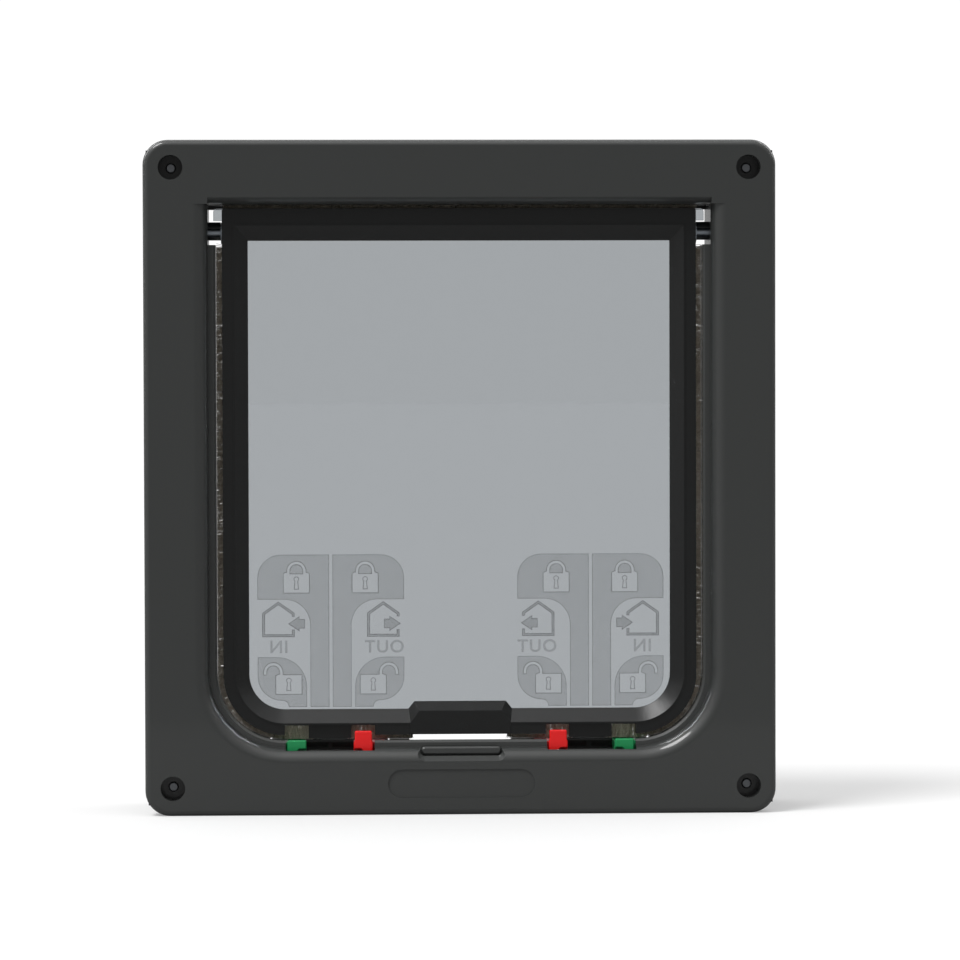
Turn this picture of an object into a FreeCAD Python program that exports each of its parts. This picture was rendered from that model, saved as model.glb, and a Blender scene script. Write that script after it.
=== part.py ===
"""A lockable cat flap: two door frames, a swinging flap with a pile seal, and four sliding locks.

Millimetres. X is to the right and Z is up. The outer side faces -Y, so a viewer outdoors looks along +Y.
The origin is midway between the two frames' faces, on the surface that both frames stand on.
"""
import FreeCAD
import Part
import math
import os

from FreeCAD import Vector

# Outer size of both frames
FRAME_WIDTH = 252.0
FRAME_HEIGHT = 269.0
FRAME_CORNER_R = 10.0
FRAME_EDGE_R = 2.5
FRONT_BEZEL_DEPTH = 11.0
REAR_BEZEL_DEPTH = 10.0
DOOR_THICKNESS = 40.0
FACE_WALL = 2.8
SKIRT_WALL = 2.6

# Opening through the frames, measured inside the collar
BEZEL_SIDE_WIDTH = 25.7
BEZEL_TOP_WIDTH = 25.5
OPENING_HALF_WIDTH = FRAME_WIDTH / 2 - BEZEL_SIDE_WIDTH
OPENING_TOP = FRAME_HEIGHT - BEZEL_TOP_WIDTH
OPENING_FLOOR = 24.6
OPENING_CORNER_R = 30.0
LEDGE_RISE = 2.2
MOUTH_R = 6.0
MOUTH_TOP_RISE = 2.6
MOUTH_TOP_FLAT = 1.2
MOUTH_TOP_DEPTH = 4.0
REAR_MOUTH_CHAMFER = 1.8
COLLAR_WALL = 2.6
COLLAR_REACH = 21.5
TUNNEL_WALL = 2.4
TUNNEL_OVERLAP = 8.0
SLIDE_CLEARANCE = 0.4

# Raised lip that the pile seal brushes against
LIP_SETBACK = 6.5
LIP_DEPTH = 14.0
LIP_HEIGHT = 3.0
LIP_SILL_RISE = 4.8
LIP_BELOW_PIVOT = 4.9
LIP_EDGE_CHAMFER = 0.9
LIP_WALL = 3.0

# Stop across the top of the collar that closes the gap above the flap
STOP_DROP = 1.4
STOP_THICKNESS = 2.0
STOP_TO_END = 4.0

# Screws at the frames' corners
SCREW_INSET = 11.0
SCREW_PITCH_X = FRAME_WIDTH - 2 * SCREW_INSET
SCREW_PITCH_Z = FRAME_HEIGHT - 2 * SCREW_INSET
SCREW_R = 2.0
SCREW_THREAD_R = 1.75
SCREW_NECK_R = 2.25
SCREW_HEAD_R = 3.8
SCREW_HEAD_THICKNESS = 2.6
SCREW_CROSS_HALF = 1.9
SCREW_CROSS_WIDTH = 0.9
SCREW_CROSS_DEPTH = 1.4
SCREW_NECK_LENGTH = 0.5
SCREW_TIP = 0.4
SCREW_HOLE_GAP = 0.05
COUNTERBORE_R = 4.9
FRONT_COUNTERBORE_DEPTH = 10.0
REAR_COUNTERBORE_DEPTH = 6.0
BOSS_WALL = 1.8
SPIGOT_HALF_WIDTH = 4.0
SPIGOT_LENGTH = 8.5
CLAMP_SETBACK = 0.4

# Ribs behind each bezel
RIB_THICKNESS = 1.6
RIB_COUNT_SIDE = 4
RIB_COUNT_END = 4
RIB_SETBACK = 1.0

# Flap: panel between two surrounds
FLAP_DEPTH = 14.5
FLAP_SIDE_GAP = 5.5
FLAP_TOP_GAP = 1.5
FLAP_SILL_GAP = 0.5
PIVOT_DROP = 9.7
FLAP_HALF_WIDTH = OPENING_HALF_WIDTH - FLAP_SIDE_GAP
FLAP_TOP = OPENING_TOP - FLAP_TOP_GAP
FLAP_BOTTOM = OPENING_FLOOR + LIP_SILL_RISE + FLAP_SILL_GAP
PIVOT_Z = FLAP_TOP - PIVOT_DROP
FLAP_CORNER_R = 24.5
FLAP_TOP_CORNER_R = 1.0
HIDDEN_EDGE_RISE = 2.0
PANEL_THICKNESS = 2.4
SURROUND_THICKNESS = 4.3
CREST_WIDTH = 5.0
CREST_TOP_WIDTH = 6.9
CREST_SILL_WIDTH = 6.3
CREST_FLAT = 0.6
BEVEL_WIDTH = 5.3
BAND_DROP = 0.4
BEVEL_TOP_WIDTH = 5.9
BEVEL_SILL_WIDTH = 5.3
PANEL_MARGIN = 5.0
PANEL_TOP_MARGIN = 3.9
EAR_GAP = 2.0
EAR_HEIGHT = 4.8
EAR_CORNER_R = 1.4
EAR_ROOT_DEPTH = 6.8

# Magnet housing in the flap's lower edge
HOUSING_BASE_HALF = 20.8
HOUSING_BASE_TOP = 44.5
HOUSING_TOP_HALF = 18.4
HOUSING_CREST_HALF = 16.5
HOUSING_CREST_FOOT_HALF = 20.1
HOUSING_CREST_Z = 41.0
HOUSING_BOTTOM = 31.5
HOUSING_HALF_WIDTH = 19.0
MAGNET_LENGTH = 30.0
MAGNET_WIDTH = 6.0
MAGNET_HEIGHT = 3.6
MAGNET_GAP = 0.1
MAGNET_FLOOR = 1.0

# Hinge pins and their collars
PIN_R = 2.0
PIN_SEAT = 2.4
PIN_SEAT_GAP = 0.02
PIN_RUNNING_GAP = 0.06
PIN_END_GAP = 0.4
BEARING_R = 3.3
SADDLE_R = 4.4
SADDLE_FLOOR = 2.8
SADDLE_SLOT_HALF = 1.75
SADDLE_TO_FLAP = 0.5
BEARING_REACH = 1.0
BEARING_GAP = 0.02

# Pile seal
PILE_CLEARANCE = 0.4
PILE_THICKNESS = 2.0
PILE_ROOT = 4.6
PILE_TOP_REACH = 1.0
PILE_TOP_INSET = 7.3
PILE_GAP_CENTRE = 20.5

# Locks: pairs of sliders either side of a tooth in the flap's lower lip
TOOTH_SHARE = 0.552
TOOTH_X = TOOTH_SHARE * FLAP_HALF_WIDTH
TOOTH_HALF_WIDTH = 8.5
TOOTH_SETBACK = 2.4
WINDOW_WIDTH = 9.6
WINDOW_RISE = 5.4
LOCK_OPEN_OFFSET = 13.3
LOCK_TRAVEL = 8.3
TAB_WIDTH = 7.6
TAB_THICKNESS = 2.2
TAB_GAP = 1.0
TAB_BOTTOM = 24.9
TAB_FLARE = 0.35
TAB_STEP = 1.1
TAB_EDGE_CHAMFER = 0.4
NIB_TOP = 33.2
NIB_THICKNESS = 2.2
NIB_GAP = 0.9
IN_TAB_TOP = 29.6
FLARE_TOP = 29.6
FLARE_RISE = 1.0
FOOT_BOTTOM_GAP = 0.1
FOOT_TOP = 28.4
FOOT_EXTENSION = 5.0
NOTCH_HALF_WIDTH = 17.8
NOTCH_FRONT_REACH = 4.0
FOOT_GAP = 0.4
NECK_ROOT = 0.6
TONGUE_REACH = 2.5
TONGUE_BOTTOM = 25.5
TONGUE_HEIGHT = 1.7
TONGUE_GAP = 0.1
STOP_GAP = 0.2

# Guide rails for the locks
RAIL_DEPTH = 4.0
RAIL_TOP = 29.0
RAIL_GAP = 0.4
RAIL_HALF_LENGTH = 23.5
RAIL_CHAMFER = 0.6
PEG_OFFSET = 21.0
PEG_HALF_WIDTH = 1.2
PEG_DEPTH = 1.5
PEG_GAP = 0.05

# Catch bar in the sill, and the bare plate outline below it
CATCH_HALF_LENGTH = 16.4
CATCH_Z = 25.4
CATCH_HALF_HEIGHT = 2.03
CATCH_DISH = 2.0
CATCH_DISH_DEPTH = 2.6
CATCH_DEPTH = 5.6
CATCH_GAP = 0.35
CATCH_BAR_THICKNESS = 2.7
CATCH_BAR_CHAMFER = 0.7
PLATE_HALF_LENGTH = 29.3
PLATE_Z = 12.5
PLATE_HALF_HEIGHT = 5.7
PLATE_DEPTH = 0.6

# Places along Y that follow from the sizes above
TOTAL_DEPTH = FRONT_BEZEL_DEPTH + DOOR_THICKNESS + REAR_BEZEL_DEPTH
FRONT_FACE = -TOTAL_DEPTH / 2
FRONT_BACK = FRONT_FACE + FRONT_BEZEL_DEPTH
REAR_FACE = TOTAL_DEPTH / 2
REAR_BACK = REAR_FACE - REAR_BEZEL_DEPTH
COLLAR_END = FRONT_BACK + COLLAR_REACH
FLAP_Y = FRONT_FACE + FLAP_DEPTH
PANEL_FRONT = FLAP_Y - PANEL_THICKNESS / 2
PANEL_BACK = FLAP_Y + PANEL_THICKNESS / 2
CREST_FRONT = PANEL_FRONT - SURROUND_THICKNESS
CREST_BACK = PANEL_BACK + SURROUND_THICKNESS
LIP_FRONT = FRONT_FACE + LIP_SETBACK
LIP_BACK = LIP_FRONT + LIP_DEPTH
TAB_BACK = CREST_FRONT - TAB_GAP
TAB_FRONT = TAB_BACK - TAB_THICKNESS
NIB_FRONT = CREST_BACK + NIB_GAP
NIB_BACK = NIB_FRONT + NIB_THICKNESS
RAIL_FRONT = NIB_BACK + RAIL_GAP
RAIL_BACK = RAIL_FRONT + RAIL_DEPTH
LEDGE_Z = OPENING_FLOOR + LEDGE_RISE
LIP_SILL = OPENING_FLOOR + LIP_SILL_RISE
LIP_TOP = PIVOT_Z - LIP_BELOW_PIVOT
EAR_HALF_WIDTH = OPENING_HALF_WIDTH - EAR_GAP
WINDOW_TOP = FLAP_BOTTOM + WINDOW_RISE
CORNER_X = OPENING_HALF_WIDTH - OPENING_CORNER_R
SIDES = (-1, 1)
AXIS_Y = Vector(0, 1, 0)
AXIS_X = Vector(1, 0, 0)
AXIS_Z = Vector(0, 0, 1)


def wire_xz(points, y):
    """Close a wire at this depth. A point of three items is the middle of an arc to the next point."""
    edges = []
    here = None
    middle = None
    for point in points + points[:1]:
        spot = Vector(point[0], y, point[1])
        if len(point) == 3:
            middle = spot
            continue
        if here is not None and (spot - here).Length > 1e-6:
            line = Part.Arc(here, middle, spot) if middle else Part.LineSegment(here, spot)
            edges.append(line.toShape())
        here = spot
        middle = None
    return Part.Wire(edges)


def panel_points(half_width, low, high, low_r, high_r=0.0):
    """Outline of a panel with rounded lower corners and, if asked, rounded upper ones."""
    def corner(side, level, radius, up):
        """Two ends of one corner's arc, the end on the vertical edge first, and the arc's middle."""
        cx = side * (half_width - radius)
        cz = level - up * radius
        dx = side * radius * math.sqrt(0.5)
        dz = up * radius * math.sqrt(0.5)
        return (side * half_width, cz), (cx + dx, cz + dz, "arc"), (cx, level)

    wall, mid, base = corner(-1, low, low_r, -1)
    points = [wall, mid, base]
    wall, mid, base = corner(1, low, low_r, -1)
    points += [base, mid, wall]
    if high_r:
        wall, mid, top = corner(1, high, high_r, 1)
        points += [wall, mid, top]
        wall, mid, top = corner(-1, high, high_r, 1)
        points += [top, mid, wall]
    else:
        points += [(half_width, high), (-half_width, high)]
    return points


def slab(points, y0, y1):
    """Solid of an outline between two depths."""
    return Part.Face(wire_xz(points, y0)).extrude(Vector(0, y1 - y0, 0))


def taper(points0, y0, points1, y1):
    """Solid whose sides run straight from one outline to another of the same kind."""
    return Part.makeLoft([wire_xz(points0, y0), wire_xz(points1, y1)], True, True)


def block(x0, x1, y0, y1, z0, z1):
    """Box between two corners."""
    return Part.makeBox(x1 - x0, y1 - y0, z1 - z0, Vector(x0, y0, z0))


def rod(radius, x, z, y0, y1):
    """Round bar along Y."""
    return Part.makeCylinder(radius, y1 - y0, Vector(x, y0, z), AXIS_Y)


def stadium(half_length, z, half_height):
    """Outline of a bar with round ends."""
    return panel_points(half_length, z - half_height, z + half_height, half_height, half_height)


def fuse(shapes):
    """Join shapes and clean up the seams."""
    whole = shapes[0].fuse(shapes[1:]) if len(shapes) > 1 else shapes[0]
    return whole.removeSplitter()


def mirror_x(shape):
    """Copy of a shape on the other side of the middle."""
    return shape.mirror(Vector(0, 0, 0), AXIS_X)


def mirror_flap(shape):
    """Copy of a shape on the other side of the flap's middle plane."""
    return shape.mirror(Vector(0, FLAP_Y, 0), AXIS_Y)


def round_edges(shape, radius, wanted):
    """Fillet the edges whose box passes the test."""
    return shape.makeFillet(radius, [edge for edge in shape.Edges if wanted(edge.BoundBox)])


def bevel_edges(shape, size, wanted):
    """Chamfer the edges whose box passes the test."""
    return shape.makeChamfer(size, [edge for edge in shape.Edges if wanted(edge.BoundBox)])


def save(node, shapes):
    """Write one named piece, of one or more separate solids."""
    solids = [solid for shape in shapes for solid in shape.Solids]
    shape = solids[0] if len(solids) == 1 else Part.makeCompound(solids)
    shape.exportStep(f"parts/{node}.step")


def opening_points(grow=0.0, rise=0.0):
    """Outline of the opening, grown outwards all round, with its floor raised."""
    return panel_points(
        OPENING_HALF_WIDTH + grow,
        OPENING_FLOOR + rise - grow,
        OPENING_TOP + grow,
        OPENING_CORNER_R + grow,
    )


def screw_places():
    """Centres of the four corner screws."""
    return [
        (sx * SCREW_PITCH_X / 2, SCREW_INSET + row * SCREW_PITCH_Z)
        for sx in SIDES
        for row in (0, 1)
    ]


def bezel_shell(face, back, inner_grow):
    """Outer bezel: a rounded plate with a skirt, hollow towards the door, still closed at its middle."""
    outline = panel_points(FRAME_WIDTH / 2, 0, FRAME_HEIGHT, FRAME_CORNER_R, FRAME_CORNER_R)
    body = slab(outline, min(face, back), max(face, back))
    body = round_edges(body, FRAME_EDGE_R, lambda b: max(abs(b.YMin - face), abs(b.YMax - face)) < 1e-4)
    inward = math.copysign(1, back - face)
    inset = panel_points(
        FRAME_WIDTH / 2 - SKIRT_WALL,
        SKIRT_WALL,
        FRAME_HEIGHT - SKIRT_WALL,
        FRAME_CORNER_R - SKIRT_WALL,
        FRAME_CORNER_R - SKIRT_WALL,
    )
    hollow = slab(inset, face + inward * FACE_WALL, back)
    core = slab(opening_points(inner_grow), face, back + inward)
    return body.cut(hollow.cut(core))


def bezel_ribs(face, back, inner_grow):
    """Webs between the skirt and the collar, at even steps along each side and end."""
    inward = math.copysign(1, back - face)
    y0 = face + inward * FACE_WALL / 2
    y1 = back - inward * RIB_SETBACK
    low, high = min(y0, y1), max(y0, y1)
    outer_x = FRAME_WIDTH / 2 - SKIRT_WALL / 2
    inner_x = OPENING_HALF_WIDTH + inner_grow
    core = slab(opening_points(inner_grow - COLLAR_WALL / 2), low - 1, high + 1)
    ribs = []
    for index in range(RIB_COUNT_SIDE):
        z = FRAME_HEIGHT * (index + 1) / (RIB_COUNT_SIDE + 1)
        for side in SIDES:
            x0, x1 = sorted((side * (inner_x - COLLAR_WALL), side * outer_x))
            ribs.append(block(x0, x1, low, high, z - RIB_THICKNESS / 2, z + RIB_THICKNESS / 2))
    for index in range(RIB_COUNT_END):
        x = OPENING_HALF_WIDTH * (2 * index - RIB_COUNT_END + 1) / RIB_COUNT_END
        x0, x1 = x - RIB_THICKNESS / 2, x + RIB_THICKNESS / 2
        ribs.append(block(x0, x1, low, high, SKIRT_WALL / 2, OPENING_FLOOR))
        ribs.append(block(x0, x1, low, high, OPENING_TOP, FRAME_HEIGHT - SKIRT_WALL / 2))
    return [rib.cut(core) for rib in ribs]


def screw_block(x, z, y0, y1):
    """Square pillar round a screw, between the bezel's face and the door, joined to the skirt."""
    half = COUNTERBORE_R + BOSS_WALL
    side = math.copysign(1, x)
    x0, x1 = sorted((x - side * half, side * (FRAME_WIDTH - SKIRT_WALL) / 2))
    return block(x0, x1, y0, y1, z - half, z + half)


def seal_lip():
    """Lip round the sides and the sill that the pile brushes against, with its front edge bevelled."""
    outer = slab(opening_points(COLLAR_WALL / 2), LIP_FRONT, LIP_BACK)
    inner = slab(
        panel_points(
            OPENING_HALF_WIDTH - LIP_HEIGHT,
            LIP_SILL,
            OPENING_TOP + 2 * COLLAR_WALL,
            OPENING_CORNER_R - LIP_HEIGHT,
        ),
        LIP_FRONT,
        LIP_BACK,
    )
    cap = block(-FRAME_WIDTH / 2, FRAME_WIDTH / 2, LIP_FRONT, LIP_BACK, LIP_TOP, FRAME_HEIGHT)
    lip = outer.cut(inner.fuse(cap))
    limit = OPENING_HALF_WIDTH - LIP_HEIGHT + 0.01
    return bevel_edges(
        lip,
        LIP_EDGE_CHAMFER,
        lambda b: abs(b.YMin - LIP_FRONT) < 1e-4
        and abs(b.YMax - LIP_FRONT) < 1e-4
        and max(abs(b.XMin), abs(b.XMax)) < limit
        and b.ZMax < LIP_TOP + 0.01
        and b.ZMin > LIP_SILL - 0.01,
    )


def front_frame():
    """Outer frame: bezel, rounded mouth, collar, seal lip, lock notches, catch pocket and screw bosses."""
    body = bezel_shell(FRONT_FACE, FRONT_BACK, COLLAR_WALL)
    collar = slab(opening_points(COLLAR_WALL), FRONT_FACE + FACE_WALL, COLLAR_END)
    parts = [body, collar] + bezel_ribs(FRONT_FACE, FRONT_BACK, COLLAR_WALL)
    block_end = FRONT_BACK - CLAMP_SETBACK
    floor_y = FRONT_FACE + FRONT_COUNTERBORE_DEPTH
    for x, z in screw_places():
        parts.append(screw_block(x, z, FRONT_FACE + FACE_WALL / 2, block_end))
        half = SPIGOT_HALF_WIDTH
        parts.append(block(x - half, x + half, floor_y, floor_y + SPIGOT_LENGTH, z - half, z + half))
    body = fuse(parts)

    # The mouth is cut in two steps, because the ledge before the lip is higher than the floor behind it
    front_cut = slab(opening_points(0, LEDGE_RISE), FRONT_FACE - 1, LIP_FRONT)
    body = body.cut(front_cut)
    rim = OPENING_HALF_WIDTH + 0.01
    low = LEDGE_Z - 0.01

    def on_mouth(box):
        """Edges of the mouth in the front face, all but the top one."""
        flat = abs(box.YMin - FRONT_FACE) < 1e-4 and abs(box.YMax - FRONT_FACE) < 1e-4
        inside = max(abs(box.XMin), abs(box.XMax)) < rim and box.ZMin > low
        return flat and inside and box.ZMax < OPENING_TOP + 0.01

    body = round_edges(body, MOUTH_R, lambda b: on_mouth(b) and b.ZMin < OPENING_TOP - 1)
    body = body.cut(top_mouth_cutter())
    body = body.cut(slab(opening_points(), LIP_FRONT, COLLAR_END + 1))
    body = fuse([body, seal_lip(), top_stop(), magnet_bed()])

    for x, z in screw_places():
        body = body.cut(rod(COUNTERBORE_R, x, z, FRONT_FACE - 1, floor_y))
        body = body.cut(rod(SCREW_THREAD_R + SCREW_HOLE_GAP, x, z, FRONT_FACE, floor_y + SPIGOT_LENGTH + 1))
    cutters = lock_trough() + catch_pocket() + [magnet_pocket(), bare_plate()]
    for side in SIDES:
        cutters += rail_pegs(side * TOOTH_X, PEG_GAP)
        start = Vector(side * (OPENING_HALF_WIDTH - 1), FLAP_Y, PIVOT_Z)
        cutters.append(Part.makeCylinder(BEARING_R + BEARING_GAP, COLLAR_WALL + 2, start, AXIS_X * side))
    return body.cut(cutters)


def top_mouth_cutter():
    """Two slopes along the mouth's upper edge, which meet the sides in square corners."""
    half = OPENING_HALF_WIDTH
    inside = OPENING_TOP - 1
    profile = [
        (FRONT_FACE, inside),
        (FRONT_FACE, OPENING_TOP + MOUTH_TOP_RISE),
        (FRONT_FACE + MOUTH_TOP_FLAT, OPENING_TOP + MOUTH_TOP_RISE - MOUTH_TOP_FLAT),
        (FRONT_FACE + MOUTH_TOP_DEPTH, OPENING_TOP),
        (FRONT_FACE + MOUTH_TOP_DEPTH, inside),
        (FRONT_FACE, inside),
    ]
    wire = Part.makePolygon([Vector(-half, y, z) for y, z in profile])
    return Part.Face(wire).extrude(Vector(2 * half, 0, 0))


def top_stop():
    """Rib across the collar's top behind the flap, so that no light or wind passes over the flap."""
    half = OPENING_HALF_WIDTH + COLLAR_WALL / 2
    back = COLLAR_END - STOP_TO_END
    low = OPENING_TOP - STOP_DROP
    return block(-half, half, back - STOP_THICKNESS, back, low, OPENING_TOP + COLLAR_WALL / 2)


def magnet_bed():
    """Raised bed in the middle of the sill that holds the sill's magnet from below."""
    half = MAGNET_LENGTH / 2 + 2 * MAGNET_FLOOR
    width = MAGNET_WIDTH / 2 + MAGNET_FLOOR
    low = OPENING_FLOOR - COLLAR_WALL / 2
    return block(-half, half, FLAP_Y - width, FLAP_Y + width, low, LIP_SILL - MAGNET_FLOOR)


def magnet_pocket():
    """Pocket for the sill's magnet, open below."""
    half = MAGNET_LENGTH / 2 + MAGNET_GAP
    width = MAGNET_WIDTH / 2 + MAGNET_GAP
    low = OPENING_FLOOR - COLLAR_WALL - 1
    high = LIP_SILL - 2 * MAGNET_FLOOR + MAGNET_GAP
    return block(-half, half, FLAP_Y - width, FLAP_Y + width, low, high)


def lock_trough():
    """Cutters for the notches that the tabs stand in and the troughs that the sliders run in."""
    cutters = []
    for side in SIDES:
        x = side * TOOTH_X
        cutters.append(
            block(
                x - NOTCH_HALF_WIDTH,
                x + NOTCH_HALF_WIDTH,
                LIP_FRONT - NOTCH_FRONT_REACH,
                LIP_BACK + 1,
                OPENING_FLOOR,
                LIP_SILL + 2,
            )
        )
        cutters.append(
            block(
                x - RAIL_HALF_LENGTH - SLIDE_CLEARANCE,
                x + RAIL_HALF_LENGTH + SLIDE_CLEARANCE,
                LIP_FRONT + LIP_WALL,
                RAIL_BACK + SLIDE_CLEARANCE,
                OPENING_FLOOR,
                LIP_SILL + 2,
            )
        )
    # Between the locks the lip is only its front wall, so that air and light pass under the magnet housing
    half = PILE_GAP_CENTRE
    gap = block(-half, half, LIP_FRONT + LIP_WALL, LIP_BACK + 1, OPENING_FLOOR, LIP_SILL + 2)
    cutters.append(gap.cut(magnet_bed()))
    return cutters


def catch_pocket():
    """Cutters for the pill-shaped pocket in the sill and the dish round it."""
    mouth = stadium(CATCH_HALF_LENGTH + CATCH_DISH, CATCH_Z, CATCH_HALF_HEIGHT + CATCH_DISH)
    walls = stadium(CATCH_HALF_LENGTH, CATCH_Z, CATCH_HALF_HEIGHT)
    pocket = slab(walls, FRONT_FACE - 1, FRONT_FACE + CATCH_DEPTH)
    return [pocket, taper(mouth, FRONT_FACE, walls, FRONT_FACE + CATCH_DISH_DEPTH)]


def bare_plate():
    """Cutter for the shallow recess of the bare plate under the sill, whose rim is left as a fine edge."""
    outline = stadium(PLATE_HALF_LENGTH, PLATE_Z, PLATE_HALF_HEIGHT)
    return slab(outline, FRONT_FACE - 1, FRONT_FACE + PLATE_DEPTH)


def rail_pegs(x, gap):
    """Two square pegs under one guide rail, or with a gap the sockets that they sit in."""
    middle = (RAIL_FRONT + RAIL_BACK) / 2
    half = PEG_HALF_WIDTH + gap
    return [
        block(
            x + end * PEG_OFFSET - half,
            x + end * PEG_OFFSET + half,
            middle - half,
            middle + half,
            OPENING_FLOOR - PEG_DEPTH - gap,
            OPENING_FLOOR + 1,
        )
        for end in SIDES
    ]


def rear_frame():
    """Inner frame: bezel, and a tunnel that slides over the front frame's collar."""
    grow = COLLAR_WALL + SLIDE_CLEARANCE
    wall = grow + TUNNEL_WALL
    body = bezel_shell(REAR_FACE, REAR_BACK, wall)
    tunnel = slab(opening_points(wall), COLLAR_END - TUNNEL_OVERLAP, REAR_FACE - FACE_WALL)
    parts = [body, tunnel] + bezel_ribs(REAR_FACE, REAR_BACK, wall)
    for x, z in screw_places():
        parts.append(screw_block(x, z, REAR_BACK + CLAMP_SETBACK, REAR_FACE - FACE_WALL / 2))
    body = fuse(parts)
    body = body.cut(slab(opening_points(grow), COLLAR_END - TUNNEL_OVERLAP - 1, REAR_FACE + 1))
    rim = OPENING_HALF_WIDTH + grow + 0.01
    top = OPENING_TOP + grow + 0.01
    low = OPENING_FLOOR - grow - 0.01
    body = bevel_edges(
        body,
        REAR_MOUTH_CHAMFER,
        lambda b: abs(b.YMin - REAR_FACE) < 1e-4
        and abs(b.YMax - REAR_FACE) < 1e-4
        and max(abs(b.XMin), abs(b.XMax)) < rim
        and b.ZMax < top
        and b.ZMin > low,
    )
    for x, z in screw_places():
        body = body.cut(rod(COUNTERBORE_R, x, z, REAR_FACE - REAR_COUNTERBORE_DEPTH, REAR_FACE + 1))
        body = body.cut(rod(SCREW_NECK_R + 3 * SCREW_HOLE_GAP, x, z, REAR_BACK - 1, REAR_FACE))
    return body


def fixing_screws():
    """Four long screws, from the rear counterbores to the front ones."""
    tip = FRONT_FACE + FRONT_COUNTERBORE_DEPTH
    thread_end = tip + SPIGOT_LENGTH + 1
    seat = REAR_FACE - REAR_COUNTERBORE_DEPTH
    top = seat + SCREW_HEAD_THICKNESS
    neck = REAR_BACK - SCREW_NECK_LENGTH
    long, thin = SCREW_CROSS_HALF, SCREW_CROSS_WIDTH / 2
    screws = []
    for x, z in screw_places():
        cross = [
            block(x - a, x + a, top - SCREW_CROSS_DEPTH, top + 1, z - b, z + b)
            for a, b in ((long, thin), (thin, long))
        ]
        screws.append(
            fuse(
                [
                    rod(SCREW_HEAD_R, x, z, seat, top).cut(cross),
                    rod(SCREW_NECK_R, x, z, neck, seat),
                    rod(SCREW_R, x, z, thread_end, neck),
                    rod(SCREW_THREAD_R, x, z, tip - SCREW_TIP, thread_end),
                ]
            )
        )
    return screws


def hinge_bearing(side):
    """Saddle that the hinge pin snaps into from the front, with a sleeve through the frame's side wall."""
    x0 = FLAP_HALF_WIDTH + SADDLE_TO_FLAP
    x1 = OPENING_HALF_WIDTH
    x2 = x1 + COLLAR_WALL + BEARING_REACH
    start = Vector(x0, FLAP_Y, PIVOT_Z)
    saddle = Part.makeCylinder(SADDLE_R, x1 - x0, start, AXIS_X)
    around = 2 * SADDLE_R
    below = block(x0, x1, FLAP_Y - around, FLAP_Y + around, PIVOT_Z - around, PIVOT_Z - SADDLE_FLOOR)
    slot = block(x0, x1, FLAP_Y - around, FLAP_Y, PIVOT_Z - SADDLE_SLOT_HALF, PIVOT_Z + SADDLE_SLOT_HALF)
    sleeve = Part.makeCylinder(BEARING_R, x2 - x1, Vector(x1, FLAP_Y, PIVOT_Z), AXIS_X)
    bore = Part.makeCylinder(PIN_R + PIN_RUNNING_GAP, x2 - x0, start, AXIS_X)
    bearing = fuse([saddle.cut([below, slot]), sleeve]).cut(bore)
    return bearing if side > 0 else mirror_x(bearing)


def hinge_pin(side):
    """Pivot pin, seated in the flap's edge."""
    x0 = FLAP_HALF_WIDTH - PIN_SEAT
    x1 = OPENING_HALF_WIDTH + COLLAR_WALL - PIN_END_GAP
    pin = Part.makeCylinder(PIN_R, x1 - x0, Vector(x0, FLAP_Y, PIVOT_Z), AXIS_X)
    return pin if side > 0 else mirror_x(pin)


def band_points(side_inset, top_inset, sill_inset):
    """Outline inside the flap's edge, with its own margins at the sides, top and sill."""
    return panel_points(
        FLAP_HALF_WIDTH - side_inset,
        FLAP_BOTTOM + sill_inset,
        FLAP_TOP - top_inset,
        FLAP_CORNER_R - side_inset,
    )


def outer_band():
    """Cutter that lets the band outside the crest fall back a little."""
    around = panel_points(FLAP_HALF_WIDTH + 1, FLAP_BOTTOM - 1, FLAP_TOP + 1, FLAP_CORNER_R + 1)
    inset = -CREST_FLAT
    crest = band_points(CREST_WIDTH + inset, CREST_TOP_WIDTH + inset, CREST_SILL_WIDTH + inset)
    band = slab(around, CREST_FRONT - 1, CREST_FRONT + BAND_DROP)
    return band.cut(slab(crest, CREST_FRONT - 2, CREST_FRONT + 1))


def window_cutter():
    """Cutter for the surround's opening and the bevel that runs down from the crest to the panel."""
    high = band_points(CREST_WIDTH, CREST_TOP_WIDTH, CREST_SILL_WIDTH)
    low = band_points(
        CREST_WIDTH + BEVEL_WIDTH,
        CREST_TOP_WIDTH + BEVEL_TOP_WIDTH,
        CREST_SILL_WIDTH + BEVEL_SILL_WIDTH,
    )
    return taper(high, CREST_FRONT, low, PANEL_FRONT)


def housing_points(foot_half, foot, top_half, top):
    """Outline of the magnet housing at one depth: an upright foot and a narrowing upper part."""
    low = FLAP_BOTTOM + HIDDEN_EDGE_RISE
    return [(-foot_half, low), (foot_half, low), (foot_half, foot), (top_half, top), (-top_half, top),
            (-foot_half, foot)]


def magnet_housing():
    """Raised block in the middle of the flap's lower edge, whose flanks run on from the bevel."""
    foot = FLAP_BOTTOM + CREST_SILL_WIDTH
    front = housing_points(HOUSING_CREST_FOOT_HALF, foot, HOUSING_CREST_HALF, HOUSING_CREST_Z)
    root = housing_points(HOUSING_BASE_HALF, foot + BEVEL_SILL_WIDTH, HOUSING_TOP_HALF, HOUSING_BASE_TOP)
    return taper(front, CREST_FRONT, root, PANEL_FRONT)


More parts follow.
